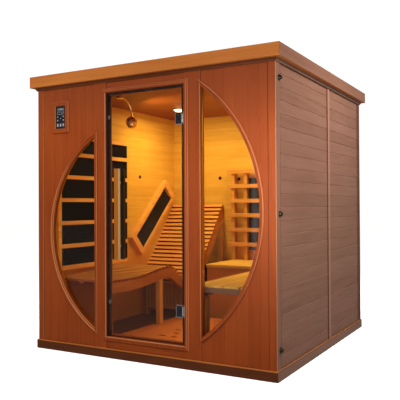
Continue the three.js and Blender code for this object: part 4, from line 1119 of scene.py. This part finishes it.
def make_key_marks(looks):
    """Symbols on the keys: pale arrows on the black keys and black bars on the grey ones."""
    for name, shapes in KEY_SYMBOLS.items():
        low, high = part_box(name)
        cx, cz = (low.x + high.x) / 2 / MM, (low.z + high.z) / 2 / MM
        face = low.y / MM - SYMBOL_LIFT
        plates = [
            plate([(cx + x, cz + z) for x, z in shape], face, SYMBOL_THICKNESS) for shape in shapes
        ]
        black_key = NODE_LOOKS[name][0] == "black"
        look, slot = ("mark", "key_grey") if black_key else ("black", "black_gloss")
        piece(f"{name}_mark", *merge(*plates), looks[look], slot, body=f"{name}_body")


# Lamps and the panel beside the back bench

LIGHT_RING = ((36.0, 0.0), (54.0, 0.0), (54.0, 3.0), (51.0, 6.0), (47.0, 7.0), (46.3, 4.0))
LIGHT_RING_PLACE = (-450.0, 290.0, 1799.8)
LIGHT_RING_STEPS = 40
GLOBE_MIDDLE = Vector((-500.0, -320.0, 1622.0))
GLOBE_AIM = Vector((0.55, 0.8, -0.24)).normalized()
BULB = ((0.1, 0.0), (18.0, 0.0), (20.0, 3.0), (17.0, 8.0), (9.0, 11.5), (0.1, 12.5))
BULB_REACH = 27.7


def make_lamps(looks):
    ring = turned(LIGHT_RING, LIGHT_RING_PLACE, (0, 0, -1), LIGHT_RING_STEPS)
    piece("ceiling_light_ring", *ring, looks["chrome"], "chrome", smooth=True)
    bulb = turned(BULB, GLOBE_MIDDLE + GLOBE_AIM * BULB_REACH, GLOBE_AIM)
    piece("lamp_bulb", *bulb, looks["bulb"], "lamp_lens", smooth=True)


GAP_PANEL = ((-318.0, -215.0), (331.0, 337.0), (56.0, 505.0), 1.0)


def make_gap_panel(looks):
    """Black panel that closes the gap between the lounger and the back bench."""
    piece("bench_gap_panel", *bar(*GAP_PANEL), looks["carbon"], "carbon")


FLOOR_REACH = 30.0
FLOOR_TONES = ((0.86, 0.86, 0.86), (0.92, 0.92, 0.92))
FLOOR_GLOW = 0.72


def make_floor():
    """Pale floor that stays as white as the backdrop and throws no light up the walls."""
    mesh = bpy.data.meshes.new("floor")
    corners = [
        (sx * FLOOR_REACH, sy * FLOOR_REACH, 0) for sx, sy in ((-1, -1), (1, -1), (1, 1), (-1, 1))
    ]
    mesh.from_pydata(corners, [], [(0, 1, 2, 3)])
    pale = plain("pale_floor", *FLOOR_TONES, 0.7, scale=3.0, bump=0.0, shine=0.0)
    shader = pale.node_tree.nodes["Principled BSDF"]
    shader.inputs["Emission Color"].default_value = (1.0, 1.0, 1.0, 1.0)
    shader.inputs["Emission Strength"].default_value = FLOOR_GLOW
    mesh.materials.append(pale)
    floor = bpy.data.objects.new("floor", mesh)
    floor.visible_diffuse = False
    floor.visible_glossy = False
    bpy.context.scene.collection.objects.link(floor)


make_camera()
make_world()
make_lights()
make_floor()
LOOKS = make_materials()
dress_nodes(LOOKS)
make_windows(LOOKS)
make_door_casing(LOOKS)
make_seals(LOOKS)
make_mouldings(LOOKS)
make_bolts(LOOKS)
make_hinge_covers(LOOKS)
make_display(LOOKS)
make_key_marks(LOOKS)
make_lamps(LOOKS)
make_gap_panel(LOOKS)
